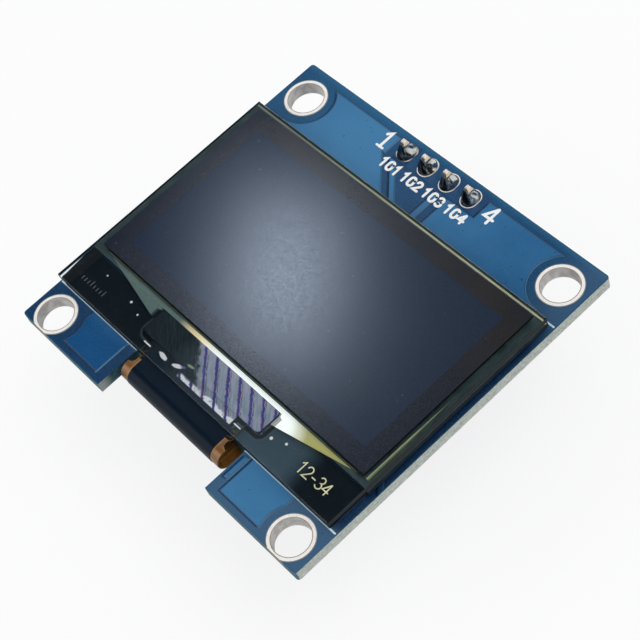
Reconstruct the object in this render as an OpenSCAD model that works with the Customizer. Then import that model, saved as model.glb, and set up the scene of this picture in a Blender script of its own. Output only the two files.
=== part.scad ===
// Small OLED display module: a glass display panel on its carrier board,
// with a flex cable folded through a notch and a four-pin header.
//
// Frame: +Z is the way the display faces, X runs along the header row,
// +Y points to the header edge. The origin is the centre of the four
// mounting holes, on the board's rear face.

/* [Board] */
// Width of the board, along the header
board_w = 35.4; // [34.5:0.1:40]
// Length of the board, from the header edge to the flex edge
board_l = 33.5; // [32.5:0.1:38]
// Thickness of the board
board_t = 1.2; // [0.8:0.1:2]
// Radius of the board's outer corners
board_corner_r = 0.3; // [0.1:0.1:1]
// Width of the notch that the flex cable passes through
notch_w = 14; // [13.2:0.1:16]
// Depth of the notch
notch_depth = 4.25; // [4:0.05:5]
// Radius of the notch's inner corners
notch_corner_r = 0.4; // [0.1:0.1:1]

/* [Mounting holes] */
// Diameter of the plated mounting holes
hole_d = 3.2; // [2.6:0.1:3.4]
// From the board's left and right edges to the holes
hole_side_inset = 2.45; // [2.2:0.05:3]
// From the board's header edge to the upper holes
hole_top_inset = 3.0; // [2.6:0.1:3.4]
// From the board's flex edge to the lower holes
hole_bottom_inset = 1.8; // [1.75:0.05:2.2]
// Width of the plated ring round each hole
hole_ring_w = 0.4; // [0.2:0.05:0.6]
// Wall of the plating inside the holes
plating_t = 0.04; // [0.02:0.01:0.1]
// Height of every copper land above the board's face
land_t = 0.05; // [0.03:0.01:0.1]

/* [Header] */
// Distance between neighbouring pins
pin_pitch = 2.54; // [2.3:0.01:2.8]
// Width of the square pins
pin_w = 0.64; // [0.5:0.01:0.66]
// How far the pins stand above the board
pin_tip_h = 1.7; // [1.5:0.1:3]
// Free length of the pins behind the plastic strip
pin_tail_l = 6; // [3:0.5:12]
// Chamfer at both ends of each pin
pin_chamfer = 0.18; // [0.05:0.01:0.2]
// From the row of pins to the board's header edge
pin_edge_inset = 1.55; // [1.3:0.05:2]
// Depth of the plastic strip, across the row
strip_d = 2.5; // [2.2:0.1:2.9]
// Height of the plastic strip
strip_h = 2.54; // [2:0.1:4]
// Chamfer on the corners of each cell of the strip
strip_chamfer = 0.45; // [0.2:0.05:0.6]
// Diameter of the plated holes for the pins
pin_hole_d = 1.0; // [0.95:0.01:1.1]
// Width of the pads round the pin holes
pin_pad_w = 1.6; // [1.4:0.1:1.8]
// Length of the pads round the pin holes
pin_pad_l = 2.0; // [1.7:0.1:2.3]
// Height of the solder fillets above the pads
solder_h = 1.0; // [0.6:0.1:1.2]
// Radius of the solder fillets at the pads
solder_foot_r = 0.76; // [0.6:0.01:0.79]

/* [Display panel] */
// From the board's left and right edges to the glass
glass_side_gap = 0.45; // [0.2:0.05:0.8]
// From the board's header edge to the glass
glass_top_gap = 6.35; // [6:0.05:6.4]
// From the board's flex edge to the front glass
glass_bottom_gap = 4.15; // [4.1:0.05:4.3]
// How far the front glass reaches beyond the rear glass
ledge_l = 3.9; // [3.8:0.1:4.2]
// Thickness of the front glass
front_glass_t = 0.65; // [0.5:0.05:1]
// Thickness of the rear glass
rear_glass_t = 0.55; // [0.5:0.05:1]
// Thickness of the tape that holds the panel to the board
tape_t = 0.25; // [0.25:0.05:1]
// From the rear glass's edge to the tape
tape_inset = 1.0; // [0:0.1:4]
// Thickness of the glue seam between the sheets of glass
seal_t = 0.05; // [0.05:0.01:0.1]
// Width of the glue seam
seal_w = 1.2; // [0.8:0.1:1.6]
// Depth of the hollow in the rear glass
hollow_depth = 0.3; // [0.2:0.01:0.35]
// Thickness of the drying sheet in the hollow
drying_sheet_t = 0.15; // [0.05:0.01:0.18]
// From the hollow's wall to the drying sheet
drying_sheet_inset = 1.0; // [0.1:0.1:5]

/* [Picture] */
// From the front glass's left edge to the polarizer
polarizer_left = 0.95; // [0.5:0.05:1]
// From the front glass's right edge to the polarizer
polarizer_right = 0.8; // [0.5:0.05:1]
// From the front glass's upper edge to the polarizer
polarizer_top = 0.6; // [0.3:0.05:1]
// From the ledge to the polarizer
polarizer_bottom = 0.6; // [0.3:0.05:1]
// Thickness of the polarizer
polarizer_t = 0.2; // [0.1:0.01:0.3]
// From the front glass's left edge to the active area
active_left = 2.66; // [2:0.01:3]
// From the front glass's right edge to the active area
active_right = 2.42; // [2:0.01:3]
// From the front glass's upper edge to the active area
active_top = 2.2; // [1.7:0.01:2.5]
// From the ledge to the active area
active_bottom = 2.2; // [1.7:0.01:2.5]
// Thickness of the light-emitting layer
active_t = 0.03; // [0.01:0.01:0.04]

/* [Ledge] */
// From the glass's left and right edges to the fan-out
fan_side = 4.05; // [0.5:0.05:6]
// Height of the fan-out's slanted part
fan_slant_l = 1.2; // [0.8:0.1:1.8]
// Thickness of the fan-out
fan_t = 0.05; // [0.05:0.01:0.09]
// Gap between the rear glass and the flex head
head_gap = 0.1; // [0.05:0.05:0.3]
// From the flex head's left and right edges to the driver chip
chip_side = 1.2; // [0.4:0.1:3]
// Length of the driver chip, across the ledge
chip_l = 1.2; // [0.8:0.1:1.8]
// Thickness of the driver chip
chip_t = 0.35; // [0.2:0.05:0.4]
// From the ledge's left and right ends to the black pad behind it
ledge_pad_side = 0.35; // [0.1:0.05:2]
// From the ledge's lower edge and the rear glass to the black pad
ledge_pad_gap = 0.1; // [0.05:0.05:0.3]

/* [Flex cable] */
// Thickness of the flex cable
flex_t = 0.12; // [0.08:0.01:0.16]
// Clearance of the flex cable in the notch, at each side
flex_side_gap = 0.75; // [0.1:0.05:1]
// How far the flex head is wider than the cable, at each side
head_step = 1.15; // [0.6:0.05:1.5]
// Length of the flex head
head_l = 2.3; // [2:0.1:2.6]
// Radius of the flex head's corners
head_corner_r = 0.4; // [0.1:0.1:0.8]
// How far the waist is narrower than the cable, at each side
waist_step = 0.3; // [0.2:0.05:0.5]
// From the front glass's lower edge to the outside of the loop
loop_reach = 2.25; // [2.1:0.05:2.6]
// Radius of the round cut in each side of the waist
bite_r = 0.5; // [0.2:0.05:0.5]
// How far the tail reaches under the board from the notch
tail_l = 4.9; // [3:0.1:8]
// From the cable's left and right edges to the black cover
cover_side = 0.9; // [0.75:0.05:1.8]
// How far the black cover reaches under the front glass
cover_tuck = 0.55; // [0.1:0.05:0.6]
// Thickness of the black cover
cover_t = 0.04; // [0.02:0.01:0.045]
// How far the black cover reaches under the board
cover_tail_l = 2.4; // [1:0.1:2.8]
// Number of soldered contacts
contact_count = 16; // [8:1:18]
// From the cable's left and right edges to the outer contacts
contact_side = 0.8; // [0.3:0.1:1.5]
// Width of each contact
contact_w = 0.35; // [0.2:0.05:0.4]
// Length of each contact pad
contact_l = 2.2; // [1.5:0.1:3]
// How far the contact pads show beyond the tail
contact_show = 0.7; // [0.7:0.1:1.2]
// Length of the solder on each contact
contact_solder_l = 0.65; // [0.4:0.05:0.65]
// From the tail to the crest of the solder's slope
contact_crest = 0.25; // [0.1:0.05:0.35]

/* [Small parts] */
// Length of a chip resistor or capacitor
chip_part_l = 1.6; // [1.2:0.1:2]
// Width of a chip resistor or capacitor
chip_part_w = 0.8; // [0.5:0.1:1.2]
// Height of a resistor
resistor_h = 0.45; // [0.3:0.05:0.6]
// Height of a capacitor
capacitor_h = 0.8; // [0.5:0.05:1.2]
// Length of the metal end of a resistor or capacitor
end_l = 0.3; // [0.15:0.05:0.4]
// Wall of the metal ends
end_t = 0.04; // [0.02:0.01:0.08]
// How far the lands reach beyond a resistor or capacitor
chip_pad_reach = 0.3; // [0.1:0.05:0.35]
// Number of resistors
resistor_count = 4; // [2:1:5]
// Number of capacitors
capacitor_count = 6; // [2:1:7]
// Distance between neighbouring parts in a row
part_pitch = 3.4; // [2:0.1:3.8]
// From the contact pads to the middle of the row of capacitors
capacitor_row_gap = 2.9; // [2:0.1:3.5]
// From the row of capacitors to the row of resistors
resistor_row_gap = 3.8; // [3:0.1:5]
// From the board's right edge to the middle of the regulator
regulator_side_inset = 6.9; // [5:0.1:7.5]
// From the row of resistors to the middle of the regulator
regulator_row_gap = 0.8; // [0:0.1:3]
// Width of the regulator
regulator_w = 2.9; // [2.8:0.1:3.2]
// Depth of the regulator's body
regulator_d = 1.3; // [1.2:0.1:1.6]
// Height of the regulator's body
regulator_h = 1.0; // [0.8:0.05:1.2]
// How far the regulator's sides slant inwards
regulator_slant = 0.12; // [0.05:0.01:0.2]
// Distance between the outer leads
lead_span = 1.9; // [1.8:0.05:2.1]
// Width of the leads
lead_w = 0.4; // [0.3:0.05:0.45]
// Thickness of the leads
lead_t = 0.12; // [0.08:0.01:0.15]
// Reach of the leads from the body
lead_reach = 0.55; // [0.5:0.05:0.8]
// From the body to the leads' bend
lead_knee = 0.2; // [0.15:0.05:0.25]
// How far a lead's land shows round the lead's foot
lead_pad_margin = 0.2; // [0.05:0.05:0.25]

/* [Hidden] */
$fn = 64;

// Overcut of holes past the faces they open on
eps = 0.1;
// Colours
board_blue = [0.03, 0.22, 0.48];
tin = [0.8, 0.79, 0.76];
copper_brown = [0.5, 0.3, 0.1];
solder_grey = [0.6, 0.6, 0.58];

// Spacing of the mounting holes, along and across the header row
hole_spacing_x = board_w - 2 * hole_side_inset;
hole_spacing_y = board_l - hole_top_inset - hole_bottom_inset;

// Edges of the board
board_y1 = hole_spacing_y / 2 + hole_top_inset;
board_y0 = board_y1 - board_l;
notch_y = board_y0 + notch_depth;

// Mounting holes, from the upper left one round to the lower left one
hole_r = hole_d / 2;
ring_r = hole_r + hole_ring_w;
hole_places = [
    [-hole_spacing_x / 2, hole_spacing_y / 2],
    [hole_spacing_x / 2, hole_spacing_y / 2],
    [hole_spacing_x / 2, -hole_spacing_y / 2],
    [-hole_spacing_x / 2, -hole_spacing_y / 2]
];

// Header
pin_count = 4;
pin_y = board_y1 - pin_edge_inset;
pin_hole_r = pin_hole_d / 2;
strip_z1 = -land_t;
strip_z0 = strip_z1 - strip_h;
pin_z0 = strip_z0 - pin_tail_l;
pin_z1 = board_t + pin_tip_h;

// Levels of the panel, from the board's front face to the viewer
tape_z = board_t;
rear_glass_z = tape_z + tape_t;
seal_z = rear_glass_z + rear_glass_t;
front_glass_z = seal_z + seal_t;
polarizer_z = front_glass_z + front_glass_t;

// Sizes and edges of the panel
glass_w = board_w - 2 * glass_side_gap;
glass_l = board_l - glass_top_gap - glass_bottom_gap;
rear_glass_l = glass_l - ledge_l;
glass_x0 = -glass_w / 2;
glass_y1 = board_y1 - glass_top_gap;
glass_y0 = glass_y1 - glass_l;
rear_glass_y0 = glass_y1 - rear_glass_l;
hollow_w = glass_w - 2 * seal_w;
hollow_l = rear_glass_l - 2 * seal_w;

// Sizes of the picture and of the fan-out
polarizer_w = glass_w - polarizer_left - polarizer_right;
polarizer_l = rear_glass_l - polarizer_top - polarizer_bottom;
active_w = glass_w - active_left - active_right;
active_l = rear_glass_l - active_top - active_bottom;
fan_w = glass_w - 2 * fan_side;

// Widths of the flex cable, of its head, waist and cover, and of the chip
flex_w = notch_w - 2 * flex_side_gap;
head_w = flex_w + 2 * head_step;
waist_w = flex_w - 2 * waist_step;
cover_w = flex_w - 2 * cover_side;
chip_w = head_w - 2 * chip_side;
contact_pitch = (flex_w - 2 * contact_side - contact_w) / (contact_count - 1);

// Flex cable: levels of the front leaf and of the tail, and the loop's centre
flex_z1 = front_glass_z - fan_t;
flex_z0 = flex_z1 - flex_t;
tail_z1 = -land_t;
tail_z0 = tail_z1 - flex_t;
loop_r = (flex_z1 - tail_z0) / 2;
loop_z = (flex_z1 + tail_z0) / 2;
loop_y = glass_y0 - loop_reach + loop_r;
head_y1 = rear_glass_y0 - head_gap;
head_y0 = head_y1 - head_l;
tail_y1 = notch_y + tail_l;
cover_y1 = notch_y + cover_tail_l;
cover_start_y = glass_y0 + cover_tuck;

// Places of the small parts on the board's rear
capacitor_row_y = tail_y1 + contact_show + capacitor_row_gap;
resistor_row_y = capacitor_row_y + resistor_row_gap;
regulator_x = board_w / 2 - regulator_side_inset;
regulator_y = resistor_row_y + regulator_row_gap;

// The x position of copy i of a centred row of n copies
function row_x(i, n, pitch) = (i - (n - 1) / 2) * pitch;

// Rectangle with round corners, its lower left corner at [0, 0]
module rounded_rect(w, l, r) {
    translate([r, 0]) square([w - 2 * r, l]);
    translate([0, r]) square([w, l - 2 * r]);
    for (x = [r, w - r], y = [r, l - r])
        translate([x, y]) circle(r);
}

// Plate from its lower left corner and its level
module plate(x0, y0, z0, w, l, t) {
    translate([x0, y0, z0]) cube([w, l, t]);
}

module board_outline() {
    difference() {
        translate([-board_w / 2, board_y0])
            rounded_rect(board_w, board_l, board_corner_r);
        translate([-notch_w / 2, board_y0 - notch_depth])
            rounded_rect(notch_w, 2 * notch_depth, notch_corner_r);
    }
}

// Board with its notch, four corner holes and the holes of the header
module circuit_board() {
    color(board_blue)
    difference() {
        linear_extrude(board_t) board_outline();
        for (p = hole_places)
            translate([p[0], p[1], -eps])
                cylinder(r = hole_r + plating_t, h = board_t + 2 * eps);
        for (i = [0 : pin_count - 1])
            translate([row_x(i, pin_count, pin_pitch), pin_y, -eps])
                cylinder(r = pin_hole_r + plating_t, h = board_t + 2 * eps);
    }
}

// Barrel in a corner hole with a ring on both faces, cut where it meets the board's edge
module hole_plating(n) {
    p = hole_places[n - 1];
    color(tin)
    intersection() {
        translate([p[0], p[1], 0])
            rotate_extrude()
                polygon([
                    [hole_r, -land_t], [ring_r, -land_t], [ring_r, 0],
                    [hole_r + plating_t, 0], [hole_r + plating_t, board_t],
                    [ring_r, board_t], [ring_r, board_t + land_t], [hole_r, board_t + land_t]
                ]);
        plate(-board_w / 2, board_y0, -land_t - eps,
              board_w, board_l, board_t + 2 * (land_t + eps));
    }
}

// One cell of the strip: a square with its corners cut off
module strip_cell() {
    a = pin_pitch / 2;
    b = strip_d / 2;
    c = strip_chamfer;
    polygon([
        [-a, -b + c], [-a + c, -b], [a - c, -b], [a, -b + c],
        [a, b - c], [a - c, b], [-a + c, b], [-a, b - c]
    ]);
}

// Plastic strip behind the board that holds the pins
module header_body() {
    color([0.05, 0.05, 0.05])
    translate([0, pin_y, strip_z0])
        linear_extrude(strip_h)
            for (i = [0 : pin_count - 1])
                translate([row_x(i, pin_count, pin_pitch), 0])
                    difference() {
                        strip_cell();
                        square(pin_w, center = true);
                    }
}

// Side view of a pin, wide enough across to be cut by the other side view
module pin_side() {
    w = pin_w / 2;
    c = pin_chamfer;
    rotate([90, 0, 0])
        linear_extrude(2 * pin_w, center = true)
            polygon([
                [-w + c, pin_z0], [w - c, pin_z0], [w, pin_z0 + 2 * c], [w, pin_z1 - 2 * c],
                [w - c, pin_z1], [-w + c, pin_z1], [-w, pin_z1 - 2 * c], [-w, pin_z0 + 2 * c]
            ]);
}

// Square pin with pyramid-shaped ends
module header_pin(n) {
    color([0.85, 0.72, 0.5])
    translate([row_x(n - 1, pin_count, pin_pitch), pin_y, 0])
        intersection() {
            pin_side();
            rotate([0, 0, 90]) pin_side();
        }
}

// Land of a pin hole: rectangular round pin 1, with round ends on the others
module pin_land(n) {
    if (n == 1) {
        square([pin_pad_w, pin_pad_l], center = true);
    } else {
        square([pin_pad_w, pin_pad_l - pin_pad_w], center = true);
        for (s = [-1, 1])
            translate([0, s * (pin_pad_l - pin_pad_w) / 2]) circle(d = pin_pad_w);
    }
}

// Plated hole of a pin with a land on both faces
module pin_pad(n) {
    color(tin)
    translate([row_x(n - 1, pin_count, pin_pitch), pin_y, 0])
        difference() {
            union() {
                translate([0, 0, -land_t]) linear_extrude(land_t) pin_land(n);
                translate([0, 0, board_t]) linear_extrude(land_t) pin_land(n);
                cylinder(r = pin_hole_r + plating_t, h = board_t);
            }
            translate([0, 0, -land_t - eps])
                cylinder(r = pin_hole_r, h = board_t + 2 * (land_t + eps));
        }
}

// Solder that fills a pin's hole and climbs the pin as a hollow-sided cone
module solder_joint(n) {
    foot_z = board_t + land_t;
    top_r = pin_hole_r;
    steps = 8;
    flank = [for (i = [0 : steps])
        let (a = 90 * i / steps)
        [solder_foot_r - (solder_foot_r - top_r) * sin(a),
         foot_z + solder_h * (1 - cos(a))]];
    color(solder_grey)
    translate([row_x(n - 1, pin_count, pin_pitch), pin_y, 0])
        difference() {
            rotate_extrude()
                polygon(concat(
                    [[0, -land_t], [pin_hole_r, -land_t], [pin_hole_r, foot_z]],
                    flank, [[0, foot_z + solder_h]]));
            translate([-pin_w / 2, -pin_w / 2, -land_t - eps])
                cube([pin_w, pin_w, foot_z + solder_h + land_t + 2 * eps]);
        }
}

// Double-sided foam tape between the panel and the board
module mounting_tape() {
    color([0.85, 0.85, 0.82])
    plate(glass_x0 + tape_inset, rear_glass_y0 + tape_inset, tape_z,
          glass_w - 2 * tape_inset, rear_glass_l - 2 * tape_inset, tape_t);
}

// Cap glass with the hollow that keeps it clear of the light-emitting layer
module rear_glass() {
    color([0.45, 0.55, 0.52])
    difference() {
        plate(glass_x0, rear_glass_y0, rear_glass_z, glass_w, rear_glass_l, rear_glass_t);
        plate(glass_x0 + seal_w, rear_glass_y0 + seal_w, seal_z - hollow_depth,
              hollow_w, hollow_l, hollow_depth + eps);
    }
}

// Drying sheet on the floor of the hollow
module drying_sheet() {
    color([0.9, 0.9, 0.88])
    plate(glass_x0 + seal_w + drying_sheet_inset, rear_glass_y0 + seal_w + drying_sheet_inset,
          seal_z - hollow_depth,
          hollow_w - 2 * drying_sheet_inset, hollow_l - 2 * drying_sheet_inset, drying_sheet_t);
}

// Frame of glue that joins the two sheets of glass
module edge_seal() {
    color([0.6, 0.62, 0.5])
    difference() {
        plate(glass_x0, rear_glass_y0, seal_z, glass_w, rear_glass_l, seal_t);
        plate(glass_x0 + seal_w, rear_glass_y0 + seal_w, seal_z - eps,
              hollow_w, hollow_l, seal_t + 2 * eps);
    }
}

// Light-emitting layer on the back of the front glass
module pixel_layer() {
    color([0.22, 0.26, 0.38])
    plate(glass_x0 + active_left, glass_y1 - active_top - active_l, front_glass_z - active_t,
          active_w, active_l, active_t);
}

// Front glass: longer than the rear glass, so that it leaves a ledge
module front_glass() {
    color([0.2, 0.24, 0.28])
    plate(glass_x0, glass_y0, front_glass_z, glass_w, glass_l, front_glass_t);
}

// Polarizing film over the picture
module polarizer() {
    color([0.12, 0.12, 0.16])
    plate(glass_x0 + polarizer_left, glass_y1 - polarizer_top - polarizer_l, polarizer_z,
          polarizer_w, polarizer_l, polarizer_t);
}

// Tracks on the back of the ledge, drawn together to the width of the flex head
module electrode_tracks() {
    color([0.72, 0.72, 0.6])
    translate([0, 0, flex_z1])
        linear_extrude(fan_t)
            polygon([
                [-fan_w / 2, rear_glass_y0], [fan_w / 2, rear_glass_y0],
                [head_w / 2, rear_glass_y0 - fan_slant_l], [head_w / 2, head_y0],
                [-head_w / 2, head_y0], [-head_w / 2, rear_glass_y0 - fan_slant_l]
            ]);
}

// Controller bonded to the back of the flex head
module driver_chip() {
    color([0.08, 0.08, 0.09])
    plate(-chip_w / 2, (head_y0 + head_y1 - chip_l) / 2, flex_z0 - chip_t,
          chip_w, chip_l, chip_t);
}

// Black foam pad on the board that backs the chip and darkens the ledge
module ledge_pad() {
    color([0.02, 0.02, 0.025])
    plate(glass_x0 + ledge_pad_side, glass_y0 + ledge_pad_gap, board_t,
          glass_w - 2 * ledge_pad_side, glass_l - rear_glass_l - 2 * ledge_pad_gap,
          flex_z0 - chip_t - board_t);
}

// Half ring round the loop's centre, open towards the board
module loop_bend(r1, r0, w) {
    translate([0, loop_y, loop_z])
        rotate([90, 0, 90])
            linear_extrude(w, center = true)
                difference() {
                    circle(r1);
                    circle(r0);
                    translate([0, -2 * r1]) square(4 * r1);
                }
}

// Flex cable: head under the ledge, waist, loop through the notch and tail on the board's rear
module flex_cable() {
    waist_y = (glass_y0 + loop_y) / 2;
    color(copper_brown)
    union() {
        translate([0, 0, flex_z0])
            linear_extrude(flex_t)
                difference() {
                    union() {
                        translate([-head_w / 2, head_y0])
                            rounded_rect(head_w, head_l, head_corner_r);
                        translate([-waist_w / 2, waist_y])
                            square([waist_w, head_y0 - waist_y + head_l / 2]);
                        translate([-flex_w / 2, loop_y])
                            square([flex_w, waist_y - loop_y]);
                    }
                    for (s = [-1, 1])
                        translate([s * flex_w / 2, waist_y]) circle(bite_r);
                }
        loop_bend(loop_r, loop_r - flex_t, flex_w);
        plate(-flex_w / 2, loop_y, tail_z0, flex_w, tail_y1 - loop_y, flex_t);
    }
}

// Black cover on the outside of the loop
module flex_cover() {
    color([0.03, 0.05, 0.08])
    union() {
        plate(-cover_w / 2, loop_y, flex_z1, cover_w, cover_start_y - loop_y, cover_t);
        loop_bend(loop_r + cover_t, loop_r, cover_w);
        plate(-cover_w / 2, loop_y, tail_z0 - cover_t, cover_w, cover_y1 - loop_y, cover_t);
    }
}

// Row of lands on the board's rear that the flex cable is soldered to
module contact_pads() {
    color(tin)
    for (i = [0 : contact_count - 1])
        plate(row_x(i, contact_count, contact_pitch) - contact_w / 2,
              tail_y1 + contact_show - contact_l, -land_t,
              contact_w, contact_l, land_t);
}

// Solder from each land up the end of the tail
module contact_solder() {
    color(solder_grey)
    for (i = [0 : contact_count - 1])
        translate([row_x(i, contact_count, contact_pitch), tail_y1, tail_z1])
            rotate([90, 0, 90])
                linear_extrude(contact_w, center = true)
                    polygon([
                        [0, 0], [contact_solder_l, 0],
                        [contact_crest, -flex_t / 2], [0, -flex_t]
                    ]);
}

// Places of the resistors and capacitors, each a [x, y] centre
resistor_places = [for (i = [0 : resistor_count - 1])
    [row_x(i, resistor_count, part_pitch), resistor_row_y]];
capacitor_places = [for (i = [0 : capacitor_count - 1])
    [row_x(i, capacitor_count, part_pitch), capacitor_row_y]];

// Middle of a chip part, between its metal ends
module chip_body(place, h) {
    w = chip_part_w - 2 * end_t;
    l = chip_part_l - 2 * end_t;
    translate([place[0], place[1], -land_t - h / 2])
        cube([w, l, h - 2 * end_t], center = true);
}

// The two metal caps of a chip part
module chip_ends(place, h) {
    difference() {
        for (s = [-1, 1])
            translate([place[0], place[1] + s * (chip_part_l - end_l) / 2, -land_t - h / 2])
                cube([chip_part_w, end_l, h], center = true);
        chip_body(place, h);
    }
}

module resistor_bodies() {
    color([0.07, 0.07, 0.07])
    for (p = resistor_places) chip_body(p, resistor_h);
}

module resistor_ends() {
    color(tin)
    for (p = resistor_places) chip_ends(p, resistor_h);
}

module capacitor_bodies() {
    color([0.62, 0.46, 0.32])
    for (p = capacitor_places) chip_body(p, capacitor_h);
}

module capacitor_ends() {
    color(tin)
    for (p = capacitor_places) chip_ends(p, capacitor_h);
}

// Moulded body of the regulator, with slanted sides
module regulator_body() {
    a = regulator_d / 2;
    b = a - regulator_slant;
    color([0.05, 0.05, 0.055])
    translate([regulator_x, regulator_y, -land_t])
        rotate([90, 0, 90])
            linear_extrude(regulator_w, center = true)
                polygon([
                    [-b, -lead_t / 2], [b, -lead_t / 2], [a, -regulator_h / 2],
                    [b, -regulator_h], [-b, -regulator_h], [-a, -regulator_h / 2]
                ]);
}

// Gull-wing lead, from the body's side down to its land, along +Y
module lead() {
    a = regulator_d / 2;
    top = -regulator_h / 2 - lead_t / 2;
    knee = a + lead_knee;
    toe = a + lead_reach;
    rotate([90, 0, 90])
        linear_extrude(lead_w, center = true)
            polygon([
                [a, top], [knee, top], [knee + lead_t, -lead_t], [toe, -lead_t],
                [toe, 0], [knee, 0], [knee - lead_t, top + lead_t], [a, top + lead_t]
            ]);
}

module regulator_leads() {
    color(tin)
    translate([regulator_x, regulator_y, -land_t]) {
        lead();
        for (s = [-1, 1])
            translate([s * lead_span / 2, 0, 0]) rotate([0, 0, 180]) lead();
    }
}

// Lands of the small parts
module part_pads() {
    w = lead_w + 2 * lead_pad_margin;
    l = lead_reach - lead_knee + lead_pad_margin;
    knee = regulator_d / 2 + lead_knee;
    color(tin) {
        for (p = concat(resistor_places, capacitor_places), s = [-1, 1])
            translate([p[0], p[1] + s * (chip_part_l + chip_pad_reach - end_l) / 2, -land_t / 2])
                cube([chip_part_w, end_l + chip_pad_reach, land_t], center = true);
        plate(regulator_x - w / 2, regulator_y + knee, -land_t, w, l, land_t);
        for (s = [-1, 1])
            plate(regulator_x + (s * lead_span - w) / 2, regulator_y - knee - l, -land_t, w, l, land_t);
    }
}

circuit_board();
hole_plating(1);  // hole_plating_1
hole_plating(2);  // hole_plating_2
hole_plating(3);  // hole_plating_3
hole_plating(4);  // hole_plating_4
header_body();
header_pin(1);  // header_pin_1
header_pin(2);  // header_pin_2
header_pin(3);  // header_pin_3
header_pin(4);  // header_pin_4
pin_pad(1);  // pin_pad_1
pin_pad(2);  // pin_pad_2
pin_pad(3);  // pin_pad_3
pin_pad(4);  // pin_pad_4
solder_joint(1);  // solder_joint_1
solder_joint(2);  // solder_joint_2
solder_joint(3);  // solder_joint_3
solder_joint(4);  // solder_joint_4
mounting_tape();
rear_glass();
drying_sheet();
edge_seal();
pixel_layer();
front_glass();
polarizer();
electrode_tracks();
driver_chip();
ledge_pad();
flex_cable();
flex_cover();
contact_pads();
contact_solder();
regulator_body();
regulator_leads();
resistor_bodies();
resistor_ends();
capacitor_bodies();
capacitor_ends();
part_pads();
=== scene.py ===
"""Finishes and fine pieces for the small OLED display module.

Lengths are in millimetres, in the frame of the construction model: +Z is the way
the display faces, +X runs along the header and +Y points to the header edge.
"""

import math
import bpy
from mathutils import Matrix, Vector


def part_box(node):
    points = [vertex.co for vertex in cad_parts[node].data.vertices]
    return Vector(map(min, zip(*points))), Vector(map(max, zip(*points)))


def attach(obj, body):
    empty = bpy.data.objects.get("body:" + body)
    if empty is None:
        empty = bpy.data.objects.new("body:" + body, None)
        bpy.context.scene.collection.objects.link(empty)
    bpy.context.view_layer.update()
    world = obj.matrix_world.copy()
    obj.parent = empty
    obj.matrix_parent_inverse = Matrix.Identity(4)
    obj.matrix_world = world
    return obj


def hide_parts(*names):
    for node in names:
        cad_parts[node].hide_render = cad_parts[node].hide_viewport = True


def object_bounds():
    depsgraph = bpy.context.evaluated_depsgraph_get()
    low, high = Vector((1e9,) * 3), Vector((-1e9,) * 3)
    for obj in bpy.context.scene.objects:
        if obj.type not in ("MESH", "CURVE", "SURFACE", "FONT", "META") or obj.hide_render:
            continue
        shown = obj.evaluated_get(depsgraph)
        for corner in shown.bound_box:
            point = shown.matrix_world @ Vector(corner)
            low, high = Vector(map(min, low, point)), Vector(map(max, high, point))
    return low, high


bl_info = {
    "name": "Small OLED Module",
    "version": (1, 0, 0),
    "blender": (4, 5, 0),
    "location": "3D View > Sidebar > OLED Module",
    "description": "Dresses a small OLED display module and sets up its studio",
    "category": "Object",
}

import bpy
import numpy as np
from bpy.props import FloatProperty, FloatVectorProperty, PointerProperty
from mathutils import Matrix, Vector

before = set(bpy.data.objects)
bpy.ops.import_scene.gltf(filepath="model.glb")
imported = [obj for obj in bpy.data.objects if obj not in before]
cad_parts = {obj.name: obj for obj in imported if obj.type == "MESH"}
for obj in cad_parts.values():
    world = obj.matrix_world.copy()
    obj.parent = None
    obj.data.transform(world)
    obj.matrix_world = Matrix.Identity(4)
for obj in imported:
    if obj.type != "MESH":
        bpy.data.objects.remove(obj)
CAD_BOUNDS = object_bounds()

MM = 0.001
BODY = "root"


def node_box(name):
    """Lowest and highest corner of a construction node, in millimetres."""
    low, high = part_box(name)
    return np.array(low) / MM, np.array(high) / MM


BOARD_LOW, BOARD_HIGH = node_box("circuit_board")
GLASS_LOW, GLASS_HIGH = node_box("front_glass")
PIXELS_LOW, PIXELS_HIGH = node_box("pixel_layer")
TRACKS_LOW, TRACKS_HIGH = node_box("electrode_tracks")
FLEX_TOP = node_box("flex_cable")[1][2]

# Along Y: the board's lower edge, the ledge's edges and the polarizer's lower edge
BOARD_FOOT = BOARD_LOW[1]
LEDGE_LOW, LEDGE_TOP = GLASS_LOW[1], node_box("rear_glass")[0][1]
FILM_LOW = node_box("polarizer")[0][1]

# The fan-out narrows by this much over this drop, down to half the flex head's width
HEAD_HALF = 7.4
FAN_DROP = 1.2
FAN_SLOPE = (TRACKS_HIGH[0] - HEAD_HALF) / FAN_DROP

BOARD_TOP = BOARD_HIGH[2]
HOLES = [tuple((sum(node_box(f"hole_plating_{n}")) / 2)[:2]) for n in (1, 2)]
HOLES += [(x, -y) for x, y in reversed(HOLES)]
RING_R = np.ptp(node_box("hole_plating_1"), axis=0)[0] / 2
RING_W = 0.4
HOLE_R = RING_R - RING_W
PINS = [tuple((sum(node_box(f"header_pin_{n}")) / 2)[:2]) for n in range(1, 5)]
PIN_TOP = node_box("header_pin_1")[1][2]
PIN_W = np.ptp(node_box("header_pin_1"), axis=0)[0]
PIN_Y = PINS[0][1]


# ---------------------------------------------------------------- sizes and colours


def tint(name, description, value):
    """A colour property with a default in linear light."""
    return FloatVectorProperty(name=name, description=description, default=value,
                               subtype="COLOR", size=3, min=0, max=1)


def millimetres(name, description, value, low=0.0, high=100.0):
    """A length property, in millimetres."""
    return FloatProperty(name=name, description=description, default=value, min=low, max=high)


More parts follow.
